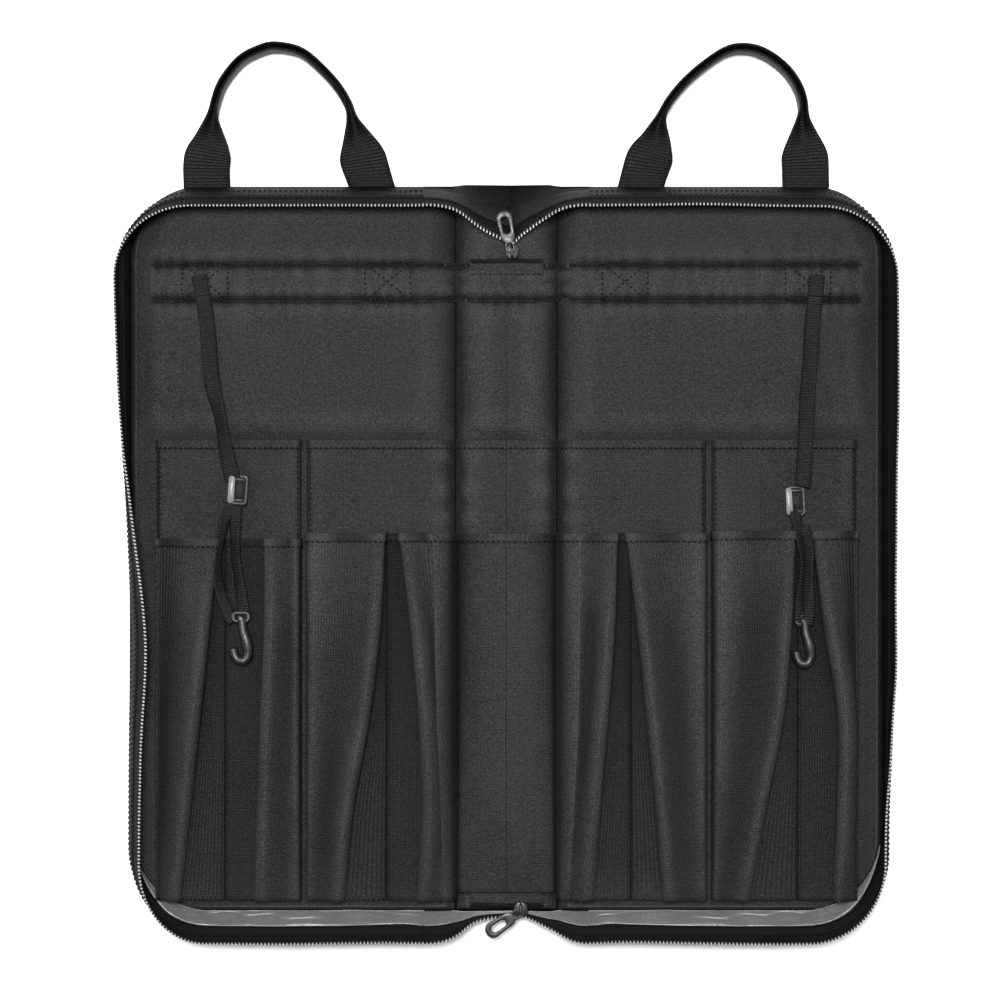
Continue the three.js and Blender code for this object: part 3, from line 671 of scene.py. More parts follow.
def web_surface(end, label, shares, count=48, offset=0.0):
    """Grid of a soft corner: rows go from the zip's V at the spine to the end of the wall, columns
    rise from the bag's edge to the zip line. Straight between the two, with a sag and folds."""
    side = SIDES[label]
    q = np.asarray(shares, float)[None, :, None]
    slider = SLIDER_PLACE["top" if end > 0 else "bottom"]
    wall = wall_surface(label, [0.0, 1.0])[0 if end > 0 else -1]
    v_point = np.array([slider[0] + side * 0.0012, slider[1] + end * 0.0045, 0.0142])
    if end > 0:
        control = [v_point, [side * 0.013, 0.2015, 0.0195], [side * 0.031, 0.2125, 0.0275], wall[1]]
    else:
        control = [v_point, [side * 0.016, -0.2345, 0.0165], [side * 0.033, -0.2415, 0.0255], wall[1]]
    zip_line = spline(control, count)
    t = np.linspace(0, 1, count)
    foot_x = slider[0] + t * (wall[0, 0] - slider[0])
    rise = 0.0082 * (1 - smooth(np.abs(foot_x), FOLD_X - 0.006, FOLD_X + 0.004))
    foot = np.stack([foot_x, np.full(count, wall[0, 1]), rise], axis=-1)
    points = foot[:, None] * (1 - q) + zip_line[:, None] * q
    profile = wall_surface(label, q[0, :, 0])[0 if end > 0 else -1]
    run_on = np.broadcast_to(profile, points.shape).copy()
    run_on[..., 0] = foot_x[:, None]
    keep = smooth(t, 0.45, 1.0)[:, None, None]
    points = points * (1 - keep) + run_on * keep
    fade = np.sin(np.pi * np.clip(t, 0, 1))[:, None]
    wave = ripple(points[..., 0] * 1.6, points[..., 1] * 1.2, 11 if end > 0 else 12, 1.5)
    points[..., 2] += 0.0012 * wave * q[..., 0] * fade + 0.0016 * np.sin(np.pi * q[..., 0]) * fade
    lift = np.array([0, end * 0.85, end * 0.5])
    return points + offset * lift


SLIDER_PLACE = {
    end: (low(f"{end}_zip_slider") + high(f"{end}_zip_slider")) / 2 for end in ("top", "bottom")
}
SPAN = {"gusset": (0.01, 0.42), "edge_binding": (0.40, 0.69), "zip_tape": (0.675, 0.965)}
SATIN_TOP_Y = -0.188
SATIN_SPAN = (0.06, 0.44)
TEETH_SHARE = 0.965


def span_shares(span, count=7):
    """Even shares of the wall's height over a layer's span."""
    return np.linspace(span[0], span[1], count)


def join_covers(piece, label, end_x=None):
    """Bakes the piece's placement into its mesh."""
    end_x = WALL_END_X if end_x is None else end_x
    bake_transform(piece)


def teeth_along(name, line, up, out):
    """Zip teeth: beads that lie across the tape, one each pitch."""
    count = max(4, int(np.linalg.norm(np.diff(line, axis=0), axis=1).sum() / sizes().tooth_pitch))
    places = even(line, count)
    along = even(up, count)
    outward = even(out, count)
    shape = bead(0.0030, 0.0013, 0.0016, rings=4, around=6)
    return scattered(name, *shape, places, along, outward, teeth_glint_finish())


def ruffled(points, label):
    """The lining hangs fuller than the wall behind it: it bellies inwards in crossing soft folds, and
    its free edge wanders."""
    rows, columns = points.shape[:2]
    q = np.linspace(0, 1, columns)[None]
    outward = cover_edge(SIDES[label], rows, WALL_END_X)[1]
    s = arc_lengths(points, 0)[:, None]
    fold = np.sin(s * 150 + 5 * q + 2 * np.sin(s * 37)) * 0.55 + np.sin(s * 61 - 7 * q + 1.3) * 0.6
    away = np.minimum(s, s[-1] - s)
    belly = (0.0014 + 0.0014 * fold) * np.sin(np.pi * q) ** 0.7 * smooth(away, 0.0, 0.012)
    moved = points.copy()
    moved[..., :2] -= belly[..., None] * outward[:, None]
    moved[..., 2] += 0.0022 * np.sin(s * 47 + 1.1 * np.sin(s * 23)) * q**2 * smooth(away, 0.0, 0.012)
    return moved


def make_wall_layers(label):
    """Gusset, binding and zip tape as sheets round the cover, with a satin lining inside."""
    turned = label == "left"
    layers = [
        ("gusset", outer_cloth(), 0.0012, 0.0, "outer_fabric"),
        ("edge_binding", binding_tape(), 0.0009, 0.0007, "binding_tape"),
        ("zip_tape", zip_tape_cloth(), 0.0008, 0.0, "zip_tape"),
    ]
    for node, finish, thickness, offset, slot in layers:
        points = wall_surface(label, span_shares(SPAN[node]), offset=offset)
        piece = cloth_shell(f"{label}_{node}_cloth", points, thickness, finish, turn=turned)
        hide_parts(f"{label}_{node}")
        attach(piece, f"{label}_cover")
    satin = wall_surface(label, span_shares(SATIN_SPAN, 14), offset=-0.0014)
    satin = ruffled(satin, label)
    satin = satin[np.argmax(satin[:, 0, 1] < SATIN_TOP_Y):]
    grown = 0.05 + 0.95 * smooth(arc_lengths(satin, 0), 0.0, 0.045)[:, None, None]
    satin = satin[:, :1] + (satin - satin[:, :1]) * grown
    piece = cloth_shell(f"{label}_gusset_lining", satin, 0.0005, satin_lining(), turn=turned)
    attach(piece, f"{label}_cover")
    rim = wall_surface(label, [0.93, TEETH_SHARE, 1.0], offset=-0.0002)
    up = rim[:, 2] - rim[:, 0]
    outward = cover_edge(SIDES[label], len(rim), WALL_END_X)[1]
    out = np.concatenate([outward, np.full((len(rim), 1), 0.25)], axis=1)
    teeth = teeth_along(f"{label}_zip_teeth", rim[:, 1], up, out)
    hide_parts(f"{label}_zip_coil")
    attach(teeth, f"{label}_cover")
    rows = []
    for share_up, lift in ((0.655, 0.0013), (0.43, 0.0013), (0.72, 0.0005)):
        wall = wall_surface(label, [share_up - 0.03, share_up, share_up + 0.03], offset=lift)
        rows.append(stitch_row(wall[:, 1], np.array([0, 0, 1.0])))
    sew(f"{label}_wall_stitching", rows, f"{label}_cover")


def make_web_layers(end_name, label):
    """The soft corner between the spine's end and a cover's wall, with its run of zip, and the
    upright skirt that closes the spine's end below it."""
    end = 1 if end_name == "top" else -1
    turned = (label == "left") == (end > 0)
    layers = [
        ("outer", outer_cloth(), 0.0012, 0.0, (0.0, 0.42), "outer_fabric"),
        ("binding", binding_tape(), 0.0009, 0.0006, (0.38, 0.72), "binding_tape"),
        ("tape", zip_tape_cloth(), 0.0008, 0.0, (0.69, 0.965), "zip_tape"),
    ]
    base = f"{end_name}_{label}_end_web"
    for part, finish, thickness, offset, span, slot in layers:
        points = web_surface(end, label, span_shares(span), offset=offset)
        piece = cloth_shell(f"{base}_{part}", points, thickness, finish, turn=turned)
        if part == "outer":
            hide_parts(base)
        join_covers(piece, label)
    share = np.linspace(0, 1, 6)[None]
    skirt = np.repeat(web_surface(end, label, [0.0, 1.0])[:, :1], 6, axis=1)
    skirt[..., 1] -= end * 0.0006
    skirt[..., 2] = 0.0014 + (np.maximum(skirt[..., 2], 0.0030) - 0.0008) * share
    piece = cloth_shell(f"{base}_skirt", skirt, 0.0010, outer_cloth(), turn=turned)
    join_covers(piece, label)
    satin = web_surface(end, label, span_shares(SATIN_SPAN, 14), offset=-0.0016)
    piece = cloth_shell(f"{base}_satin", satin, 0.0005, satin_lining(), turn=turned)
    join_covers(piece, label)
    rim = web_surface(end, label, [0.9, TEETH_SHARE, 1.0], count=40)
    out = np.tile([0, 0.3 * end, 1.0], (len(rim), 1))
    teeth = teeth_along(f"{end_name}_{label}_web_teeth", rim[:, 1], rim[:, 2] - rim[:, 0], out)
    join_covers(teeth, label)


# ---------- padded panels, bands and folds ----------


def pad_points(x_from, x_to, outline_side, rows=260, columns=110):
    """Top of a padded panel as a grid: it swells between its sewn edges, and rolls down over them.
    Height is a quarter ellipse of the distance from the edge, plus a slow swell and creases."""
    inset = 0.0024
    top = EDGE_Y - inset
    y = np.linspace(-1, 1, rows)
    y = top * np.sign(y) * (1 - (1 - np.abs(y)) ** 1.25)
    t = (1 - np.cos(np.linspace(0, np.pi, columns))) / 2
    if outline_side:
        r1, r2 = sizes().top_radius - inset, sizes().bottom_radius - inset
        cut1 = r1 - np.sqrt(np.clip(r1**2 - np.clip(y - (top - r1), 0, r1) ** 2, 0, None))
        cut2 = r2 - np.sqrt(np.clip(r2**2 - np.clip(-y - (top - r2), 0, r2) ** 2, 0, None))
        outer = REACH_X - inset - np.maximum(cut1, cut2)
        x = x_from + t[None] * (outer[:, None] - x_from)
        x = x * outline_side
        from_outer = (outer[:, None] - np.abs(x))
        from_fold = np.abs(x) - x_from
    else:
        x = np.broadcast_to(x_from + t[None] * (x_to - x_from), (rows, columns))
        from_outer = x_to - x
        from_fold = np.minimum(x - x_from, x_to - x)
    grid_y = np.broadcast_to(y[:, None], x.shape)
    from_end = top - np.abs(grid_y)
    distance = np.minimum(np.minimum(from_outer, from_fold), from_end)
    roll = 0.0064
    near_fold = np.clip(from_fold / (roll * 1.9), 0, 1)
    edge = np.sqrt(1 - (1 - np.clip(distance / roll, 0, 1)) ** 2)
    edge = edge * (0.30 + 0.70 * np.sin(near_fold * np.pi / 2))
    swell = pad_swell(x, grid_y) * smooth(distance, 0.0, 0.02)
    z = 0.0022 + (LINING_Z - 0.0032) * edge + swell * edge
    return np.stack([x, grid_y, z], axis=-1)


def settle_spine(piece, label):
    """A soft half of the spine rides the spine, with a mesh of its own."""
    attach(piece, "spine")
    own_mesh(piece)


def half_of(points, label):
    """The columns of a grid on one side of the spine's middle, which it shares."""
    middle = points.shape[1] // 2
    return points[:, : middle + 1] if label == "left" else points[:, middle:]


def make_pad(label):
    """The lining pad of a cover, or the two halves of the spine's pad."""
    side = SIDES.get(label, 0.0)
    if side:
        points = pad_points(FOLD_X + 0.0012, None, side)
        piece = cloth_shell(f"{label}_lining_pad", points, 0.0010, lining_cloth(), turn=side > 0)
        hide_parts(f"{label}_lining")
        bend_at_fold(piece, label)
        return
    half = FOLD_X - 0.0012
    points = pad_points(-half, half, 0, columns=61)
    for name in SIDES:
        piece = cloth_shell(f"spine_{name}_pad", half_of(points, name), 0.0010, lining_cloth(), turn=True)
        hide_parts("spine_lining")
        settle_spine(piece, name)


def bend_at_fold(piece, label):
    """Bakes the piece's placement into its mesh."""
    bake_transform(piece)


BAND_END_X = high("right_band")[0] + 0.008
BAND_EDGES = (low("left_band")[1] + 0.0016, high("left_band")[1] - 0.0016)


def seam_dip(x, y):
    """How far the pads' cloth is drawn down along the band's two seams: a narrow valley, puckered."""
    dip = 0.0
    sewn = 1 - smooth(np.abs(x), BAND_END_X - 0.004, BAND_END_X + 0.002)
    for k, seam_y in enumerate(BAND_EDGES):
        pucker = 1 + 0.42 * np.sin(x * 560 + 3 * np.sin(x * 90 + k) + k)
        away = np.abs(y - seam_y)
        dip = dip + np.exp(-((away / 0.0028) ** 2)) + 0.42 * pucker * np.exp(-((away / 0.0090) ** 2))
    return 0.0027 * dip * sewn


def pad_swell(x, y):
    """Slow swelling of the pads, drawn in at the seams."""
    slow = 0.8 + 0.35 * ripple(x, y, 21, 0.6) + 0.16 * ripple(x, y, 25, 2.4)
    open_part = 0.0030 * smooth(y, SLEEVE_MOUTH_Y - 0.002, SLEEVE_MOUTH_Y + 0.016)
    return sizes().pad_puff * slow + open_part - seam_dip(x, y)


def over_pad(x, y, lift):
    """Height of cloth that lies on the pads: it dips into the valley over each fold, with puckers
    across it."""
    pucker = 1 + 0.16 * np.sin(y * 420 + 2.5 * np.sin(y * 70))
    dip = np.exp(-(((np.abs(x) - FOLD_X) / (0.0078 * pucker)) ** 2))
    return LINING_Z - 0.0006 + pad_swell(x, y) + lift - dip * 0.0046


def strip_points(x0, x1, y0, y1, lift, columns, rows=12):
    """A level strip as a grid, laid over the pads at a given lift."""
    x, y = np.meshgrid(np.linspace(x0, x1, columns), np.linspace(y1, y0, rows))
    return np.stack([x, y, over_pad(x, y, lift)], axis=-1)


def make_band(label):
    """The band across a panel, with its two sewn edges."""
    y0, y1 = low("left_band")[1], high("left_band")[1]
    if label == "spine":
        for name, side in SIDES.items():
            x0, x1 = sorted((0.0, side * FOLD_X))
            for item in band_pieces(f"spine_{name}", "spine_band", x0, x1, y0, y1, 18):
                settle_spine(item, name)
        return
    side = SIDES[label]
    x0, x1 = sorted((side * FOLD_X, side * BAND_END_X))
    for item in band_pieces(label, f"{label}_band", x0, x1, y0, y1, 200):
        bend_at_fold(item, label)


def band_pieces(name, node, x0, x1, y0, y1, columns):
    """A stretch of the band, and the stitches along its two sewn edges."""
    points = strip_points(x0, x1, y0, y1, 0.0010, columns, rows=26)
    piece = cloth_shell(f"{name}_band_cloth", points, 0.0012, pocket_cloth())
    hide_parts(node)
    rows = []
    for y in (y1 - 0.0016, y0 + 0.0016):
        x = np.linspace(x0, x1, 160)
        line = np.stack([x, np.full_like(x, y), over_pad(x, y, 0.0018)], axis=-1)
        rows.append(stitch_row(line, np.array([0, 0, 1.0])))
    return piece, sew(f"{name}_band_stitching", rows, None)


def make_fold_hinge(label):
    """The outer cloth's flat strip between a cover's shell and the spine's, at the fold."""
    side = SIDES[label]
    x0, x1 = high("spine_outer_shell")[0], low("right_outer_shell")[0]
    x, y = np.meshgrid(np.linspace(x0 - 0.0001, x1 + 0.0001, 7) * side,
                       np.linspace(EDGE_Y - 0.001, -EDGE_Y + 0.001, 60))
    points = np.stack([x, y, np.full_like(x, 0.0007)], axis=-1)
    piece = cloth_shell(f"{label}_fold_strip", points, 0.0011, outer_cloth(), turn=side < 0)
    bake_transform(piece)


# ---------- pockets ----------

STICK_ROWS = 90
PLEAT_LINES = {
    # seam, right-hand fold of the first pocket and left-hand fold of the second, in metres from the
    # spine's middle, at even steps from the mouths to the foot
    "left_lower_outer": (-0.1792, (-0.1830, -0.1885, -0.1945, -0.2005, -0.2070),
                         (-0.1526, -0.1530, -0.1555, -0.1575, -0.1596)),
    "left_lower_inner": (-0.0762, (-0.0774, -0.0800, -0.0870, -0.0975, -0.1034),
                         (-0.0676, -0.0605, -0.0555, -0.0530, -0.0566)),
    "right_lower_inner": (0.0790, (0.0698, 0.0683, 0.0640, 0.0590, 0.0547),
                          (0.0762, 0.0830, 0.0890, 0.0950, 0.0999)),
    "right_lower_outer": (0.1855, (0.1823, 0.1800, 0.1750, 0.1640, 0.1539),
                          (0.1943, 0.2010, 0.2100, 0.2096, 0.2070)),
}


def pocket_edges(label, place):
    """A cover pocket's two edges: outer edges keep the frame's, inner ones reach the fold."""
    side = SIDES[label]
    node = f"{label}_upper_{place}_pocket"
    x0, x1 = low(node)[0], high(node)[0]
    if place == "inner":
        if side < 0:
            x1 = -(FOLD_X + 0.0004)
        else:
            x0 = FOLD_X + 0.0004
    return x0, x1


def sleeve_height(x, y, x0, x1, valley_left, valley_right):
    """Front of a flat sleeve: sewn down along its edges, a little slack between, open at the mouth."""
    left, right = x - x0, x1 - x
    run = 0.0030
    edge = 1.0 - 0.9 * (1 - smooth(left, 0, run)) * (0.55 if valley_left else 1)
    edge = edge - 0.9 * (1 - smooth(right, 0, run)) * (0.55 if valley_right else 1)
    mouth = smooth(y, SLEEVE_MOUTH_Y - 0.06, SLEEVE_MOUTH_Y)
    slack = 0.0020 + 0.0012 * mouth * np.sin(np.pi * np.clip(left / (x1 - x0), 0, 1))
    return over_pad(x, y, 0.0) + (slack + 0.0005 * ripple(x, y, 31, 1.1)) * edge + 0.0004


def sleeve_pieces(name, node, x0, x1, span, under):
    """A flat pocket's front, hem and seams. span is the pocket's whole width, of which the piece
    may be a part; an edge that isn't the pocket's own runs on into its neighbour."""
    y0, y1 = POCKET_FOOT_Y, SLEEVE_MOUTH_Y
    left_open, right_open = x0 > span[0] + 0.0001, x1 < span[1] - 0.0001
    ends = (x0 - 0.05 * left_open, x1 + 0.05 * right_open)
    columns = max(24, int((x1 - x0) / 0.0012))
    fold_left = abs(abs(x0) - FOLD_X) < 0.001
    fold_right = abs(abs(x1) - FOLD_X) < 0.001

    def height(x, y):
        return sleeve_height(x, y, *ends, fold_left, fold_right)

    x, y = np.meshgrid(np.linspace(x0, x1, columns), np.linspace(y1, y0, 110))
    piece = cloth_shell(name, np.stack([x, y, height(x, y)], axis=-1), sizes().cloth, pocket_cloth())
    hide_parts(node)
    hx, hy = np.meshgrid(np.linspace(x0, x1, columns), np.linspace(y1 + 0.0004, y1 - 0.0055, 8))
    hem_points = np.stack([hx, hy, height(hx, hy) + 0.0004], axis=-1)
    hem = cloth_shell(f"{name}_hem", hem_points, 0.0019, pocket_cloth())
    xs = np.linspace(x0 + 0.001, x1 - 0.001, 120)
    ys = np.full_like(xs, y1 - 0.0048)
    up = np.array([0, 0, 1.0])
    rows = [stitch_row(np.stack([xs, ys, height(xs, ys) + 0.0015], axis=-1), up)]
    down = np.linspace(y1 - 0.002, y0, 200)
    for place, plain in ((x0 + 0.0022, not (fold_left or left_open)),
                         (x1 - 0.0022, not (fold_right or right_open))):
        if plain:
            flat = np.full_like(down, place)
            rows.append(stitch_row(np.stack([flat, down, height(flat, down) + 0.0006], axis=-1), up))
    return piece, hem, sew(f"{name}_stitching", rows, None)


def pleat_profile(x0, x1, seam, fold_a, fold_b, v, inner_side):
    """Control points across a pleated pair at each share v of the way to the foot: up from the outer
    seam, over a slack front to its fold, back under by the pleat's depth, down to the stitched seam,
    and the same mirrored. Returned as (rows, points, 2)."""
    base = PLEAT_Z - 0.0018
    rise = (PLEAT_TOP - PLEAT_Z - 0.0012) * (1 - v) ** 0.85 + 0.0046 * smooth(v, 0.0, 0.6)
    tuck = sizes().pleat_depth * smooth(v, 0.10, 0.85)
    low_rise = 0.0008 + 0.0008 * v
    runs = [0.0010 + 0 * v, 0.0010 + 0 * v]
    if inner_side < 0:
        runs[1] = runs[1] + rise * 0.8 + 0.001
    elif inner_side > 0:
        runs[0] = runs[0] + rise * 0.8 + 0.001
    points = []

    def add(x, z):
        points.append(np.stack([x + 0 * v, z + 0 * v], axis=-1))

    def front(seam_edge, fold, away):
        """Controls from a pocket's sewn edge to its fold: slack cloth that rises to a round ridge."""
        run = np.abs(fold - seam_edge)
        places = []
        outermost = inner_side == 0 and float(np.mean(np.abs(seam_edge))) > 0.2
        heights = (0.40, 0.50, 0.66) if outermost else (0.96, 0.86, 0.80)
        for share, height in zip((0.06, 0.30, 0.62), heights):
            places.append((seam_edge + away * share * (run - 0.012), base + rise * height, share))
        for back, lift in ((0.0105, 0.10), (0.0075, 0.62), (0.0045, 1.0), (0.0020, 0.80)):
            places.append((fold - away * back, base + rise * (0.86 + 0.12 * lift) + ridge * lift, 0.3))
        for x, z, share in places:
            soft = 0.0016 * ripple(x * 1.8, -v * 0.06, 41, 1.7) * np.sin(np.pi * share)
            yield x, z + soft * smooth(v, 0.03, 0.3)

    ridge = 0.0042 * smooth(v, 0.02, 0.30) * (1 - 0.35 * smooth(v, 0.80, 1.0))
    drop = rise * 0.9 + ridge * 0.3
    add(x0, base)
    add(x0 + 0.25 * runs[0], base + 0.5 * rise)
    for x, z in front(x0 + runs[0], fold_a, 1):
        add(x, z)
    add(fold_a, base + drop)
    add(fold_a + 0.0004, base + 0.50 * drop)
    add(fold_a - 0.5 * tuck, base + 0.36 * rise)
    add(fold_a - tuck, base + low_rise)
    add(np.minimum(fold_a + 0.0015, seam - 0.0012), base + low_rise)
    add(seam - 0.0014, base + low_rise)
    add(seam, base - 0.0007)
    add(seam + 0.0014, base + low_rise)
    add(np.maximum(fold_b - 0.0015, seam + 0.0012), base + low_rise)
    add(fold_b + tuck, base + low_rise)
    add(fold_b + 0.5 * tuck, base + 0.36 * rise)
    add(fold_b - 0.0004, base + 0.50 * drop)
    add(fold_b, base + drop)
    for x, z in reversed(list(front(x1 - runs[1], fold_b, -1))):
        add(x, z)
    add(x1 - 0.25 * runs[1], base + 0.5 * rise)
    add(x1, base)
    return np.stack(points, axis=1)


def stick_rows(count=STICK_ROWS):
    """Even shares down a stick pocket."""
    return np.linspace(0, 1, count)


STICK_MOUTHS = {
    "left_lower_outer": STICK_MOUTH_Y, "left_lower_inner": STICK_MOUTH_Y + 0.0034,
    "right_lower_inner": STICK_MOUTH_Y + 0.0034, "right_lower_outer": STICK_MOUTH_Y + 0.0048,
    "spine_lower": STICK_MOUTH_Y + 0.0031,
}


def stick_y(v, key):
    """Where a share down a stick pocket lies along the bag."""
    foot = POCKET_FOOT_Y - (0.0030 if key == "spine_lower" else 0.0074)
    return STICK_MOUTHS[key] + v * (foot - STICK_MOUTHS[key])


def make_stick_pair(label, place):
    """One cloth pleated into two stick pockets."""
    key = f"{label}_lower_{place}"
    seam, a_line, b_line = PLEAT_LINES[key]
    x0, x1 = pocket_edges(label, place)
    side = SIDES[label]
    v = stick_rows()
    stations = np.linspace(0, 1, len(a_line))
    fold_a = spline(np.stack([stations, a_line], -1), 200)
    fold_b = spline(np.stack([stations, b_line], -1), 200)
    fold_a = np.interp(v, fold_a[:, 0], fold_a[:, 1])
    fold_b = np.interp(v, fold_b[:, 0], fold_b[:, 1])
    inner = (-1 if side < 0 else 1) if place == "inner" else 0
    control = pleat_profile(x0, x1, seam, fold_a, fold_b, v, inner)
    across = rounded_run(control, 190)
    y = np.broadcast_to(stick_y(v, key)[:, None], across.shape[:2])
    points = np.stack([across[..., 0], y, across[..., 1]], axis=-1)
    finish_stick_cloth(key, f"{key}_pocket", points, f"{label}_cover", [(x0, x1, seam)],
                       label if place == "inner" else "")


def finish_stick_cloth(key, node, points, body, seams, side):
    """Gives a stick pocket's grid its cloth, hem and seams, and the bodies that they follow."""
    name = f"{key}_{side}_cloth" if body == "spine" else f"{key}_cloth"
    # painted shade in the pockets' hollows and painted light on their ridges, measured over a wider reach and
    # scaled by a larger depth
    piece = cloth_shell(name, points, sizes().cloth, pocket_cloth(), hollow=(0.012, 0.0030))
    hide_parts(node)
    flat_width = float(arc_lengths(points, 1)[-1])
    flat_length = float(arc_lengths(points, 0)[-1])
    depth = 0.0055
    rows = np.array([0.0, 0.35, 0.7, 1.0]) * depth
    hem_points = np.concatenate([points[:1] + np.array([0, 0.0003 - r, 0]) for r in rows])
    hem = cloth_shell(f"{name}_hem", hem_points, 0.0020, pocket_cloth())
    normals = grid_normals(points)
    row = points[2] + normals[2] * 0.0010
    stitched = [stitch_row(row, np.array([0, 0, 1.0]))]
    if seams:
        x0, x1, seam = seams[0]
        ys = stick_y(np.linspace(0.02, 1, 160), key)
        for x in (x0 + 0.0006, seam, x1 - 0.0006):
            z = PLEAT_Z - (0.0020 if x == seam else 0.0008)
            line = np.stack([np.full_like(ys, x), ys, np.full_like(ys, z + 0.0006)], -1)
            stitched.append(stitch_row(line, np.array([0, 0, 1.0])))
    thread = sew(f"{name}_stitching", stitched, None)
    for item in (piece, hem, thread):
        if body == "spine":
            settle_spine(item, side)
        elif side:
            bend_at_fold(item, side)
        else:
            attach(item, body)


def make_spine_stick_pocket():
    """The spine's own stick pocket: one low arch between the two folds."""
    v = stick_rows()
    half = FOLD_X - 0.0022
    base = PLEAT_Z - 0.0026
    rise = 0.0088 * (1 - v) ** 0.8 + 0.0022
    points = []
    for share in (-1.0, -0.94, -0.72, -0.4, 0.0, 0.4, 0.72, 0.94, 1.0):
        crown = (1 - abs(share) ** 2.2)
        wave = 0.0007 * ripple(share * 0.03, -v * 0.22, 43, 1.6) * crown
        dip = -0.0024 * (abs(share) > 0.99)
        points.append(np.stack([share * half + 0 * v, base + rise * crown + wave + dip], axis=-1))
    across = rounded_run(np.stack(points, axis=1), 71)
    y = np.broadcast_to(stick_y(v, "spine_lower")[:, None], across.shape[:2])
    grid = np.stack([across[..., 0], y, across[..., 1]], axis=-1)
    for label in SIDES:
        finish_stick_cloth("spine_lower", "spine_lower_pocket", half_of(grid, label), "spine", [], label)


# ---------- carrying handles ----------

HANDLE_LINE = {
    # middle of the webbing from the outer leg over the crown to the inner leg, as distances out from
    # the spine's middle and up the bag
    "left": ((0.1920, 0.2322), (0.1918, 0.2460), (0.1890, 0.2600), (0.1872, 0.2745), (0.1850, 0.2860),
             (0.1800, 0.2985), (0.1690, 0.3120), (0.1560, 0.3190), (0.1460, 0.3208), (0.1310, 0.3175),
             (0.1190, 0.3080), (0.1080, 0.2960), (0.1008, 0.2840), (0.0980, 0.2740), (0.0942, 0.2600),
             (0.0905, 0.2460), (0.0860, 0.2322)),
    "right": ((0.1920, 0.2322), (0.1912, 0.2460), (0.1895, 0.2600), (0.1885, 0.2730), (0.1888, 0.2840),
              (0.1850, 0.2960), (0.1765, 0.3075), (0.1640, 0.3165), (0.1520, 0.3198), (0.1400, 0.3180),
              (0.1260, 0.3090), (0.1130, 0.2975), (0.1030, 0.2850), (0.0978, 0.2740), (0.0945, 0.2600),
              (0.0900, 0.2460), (0.0860, 0.2322)),
}
WEB_THICK = 0.0017


def handle_path(label, count=150):
    """Path of a handle, and how far its webbing is folded at each place. The webbing lies flat where
    it leaves the bag, and folds in two over a short run to make the grip."""
    side = SIDES[label]
    flat = np.array(HANDLE_LINE[label]) * np.array([side, 1.0])
    foot = np.array([0, low(f"{label}_handle")[2] + 0.0010])
    line = spline(np.concatenate([flat, np.zeros((len(flat), 1))], axis=1), count)
    s = np.linspace(0, 1, count)
    near = np.minimum(s, 1 - s)
    stand = smooth(near, 0.078, 0.225)
    line[:, 2] = foot[1] + 0.0090 * smooth(near, 0.0, 0.16) + 0.0012 * np.sin(np.pi * s * 2)
    return line, stand


def webbing_section(width, thickness, fold, gap):
    """Outline across the webbing: flat at first; then its two halves fold together into a U whose
    legs stand a gap apart. Twenty-two points, rounded at both selvedges."""
    rows = len(fold)
    s = np.linspace(-1, 1, 11)
    fold = np.asarray(fold)[:, None]
    half = width / 2
    flat_x = s[None] * half
    run = np.abs(s)[None] * half
    curl = np.minimum(run, gap * math.pi / 4) / np.maximum(gap / 2, 1e-6)
    turn = curl * fold
    folded_x = np.sign(s)[None] * gap / 2 * np.sin(np.minimum(turn, math.pi / 2))
    folded_y = gap / 2 * (1 - np.cos(np.minimum(turn, math.pi / 2))) + np.maximum(
        0, run - gap * math.pi / 4)
    x = flat_x * (1 - fold) + folded_x * fold
    y = (folded_y - half * 0.5) * fold
    middle = np.stack([x, y], axis=-1)
    along = np.gradient(middle, axis=1)
    along /= np.maximum(np.linalg.norm(along, axis=2, keepdims=True), 1e-9)
    normal = np.stack([-along[..., 1], along[..., 0]], axis=-1)
    edge = np.ones(11)
    edge[[0, -1]] = 0.55
    thick = thickness / 2 * edge[None, :, None]
    section = np.concatenate([middle + normal * thick, (middle - normal * thick)[:, ::-1]], axis=1)
    return section.reshape(rows, 22, 2)


def make_handle(label):
    """One webbing handle, folded lengthwise round the grip."""
    line, fold = handle_path(label)
    section = webbing_section(sizes().webbing_width, WEB_THICK, fold, 0.0040)
    tangent = np.gradient(line, axis=0)
    level = np.cross(tangent, [0, 0, 1.0])
    s = np.linspace(0, 1, len(line))
    square = (1 - smooth(np.minimum(s, 1 - s), 0.0, 0.14))[:, None]
    level /= np.linalg.norm(level, axis=1, keepdims=True)
    level = level * (1 - square) + np.array([1.0, 0, 0]) * np.sign(level[:, :1]) * square
    level /= np.linalg.norm(level, axis=1, keepdims=True)
    rise = np.cross(level, tangent)
    rise /= np.linalg.norm(rise, axis=1, keepdims=True)
    points = line[:, None] + level[:, None] * section[..., :1] + rise[:, None] * section[..., 1:]
    points[..., 2] = np.maximum(points[..., 2], 0.0001)
    piece = tube_from_rings(f"{label}_handle_webbing", points, handle_webbing())
    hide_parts(f"{label}_handle")
    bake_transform(piece)


def tube_from_rings(name, points, material):
    """Closed solid from rings of points: the rings are joined, and each end is filled by a strip
    between the ring's two halves."""
    rows, columns = points.shape[:2]
    faces = quad_faces(rows, columns, wrap=True)
    half = columns // 2
    k = np.arange(half - 1)
    base = (rows - 1) * columns
    cap = np.stack([k, k + 1, columns - 2 - k, columns - 1 - k], axis=-1)
    ends = np.concatenate([cap, cap[:, ::-1] + base])
    ring = np.concatenate([points, points[:, :1]], axis=1)
    v, u = np.meshgrid(arc_lengths(points, 0), arc_lengths(ring, 1)[:-1], indexing="ij")
    uv = np.stack([u.ravel(), v.ravel()], axis=-1)
    return put_mesh(name, points.reshape(-1, 3), np.concatenate([faces, ends]), material, uv)


# ---------- hook straps, adjusters and hooks ----------

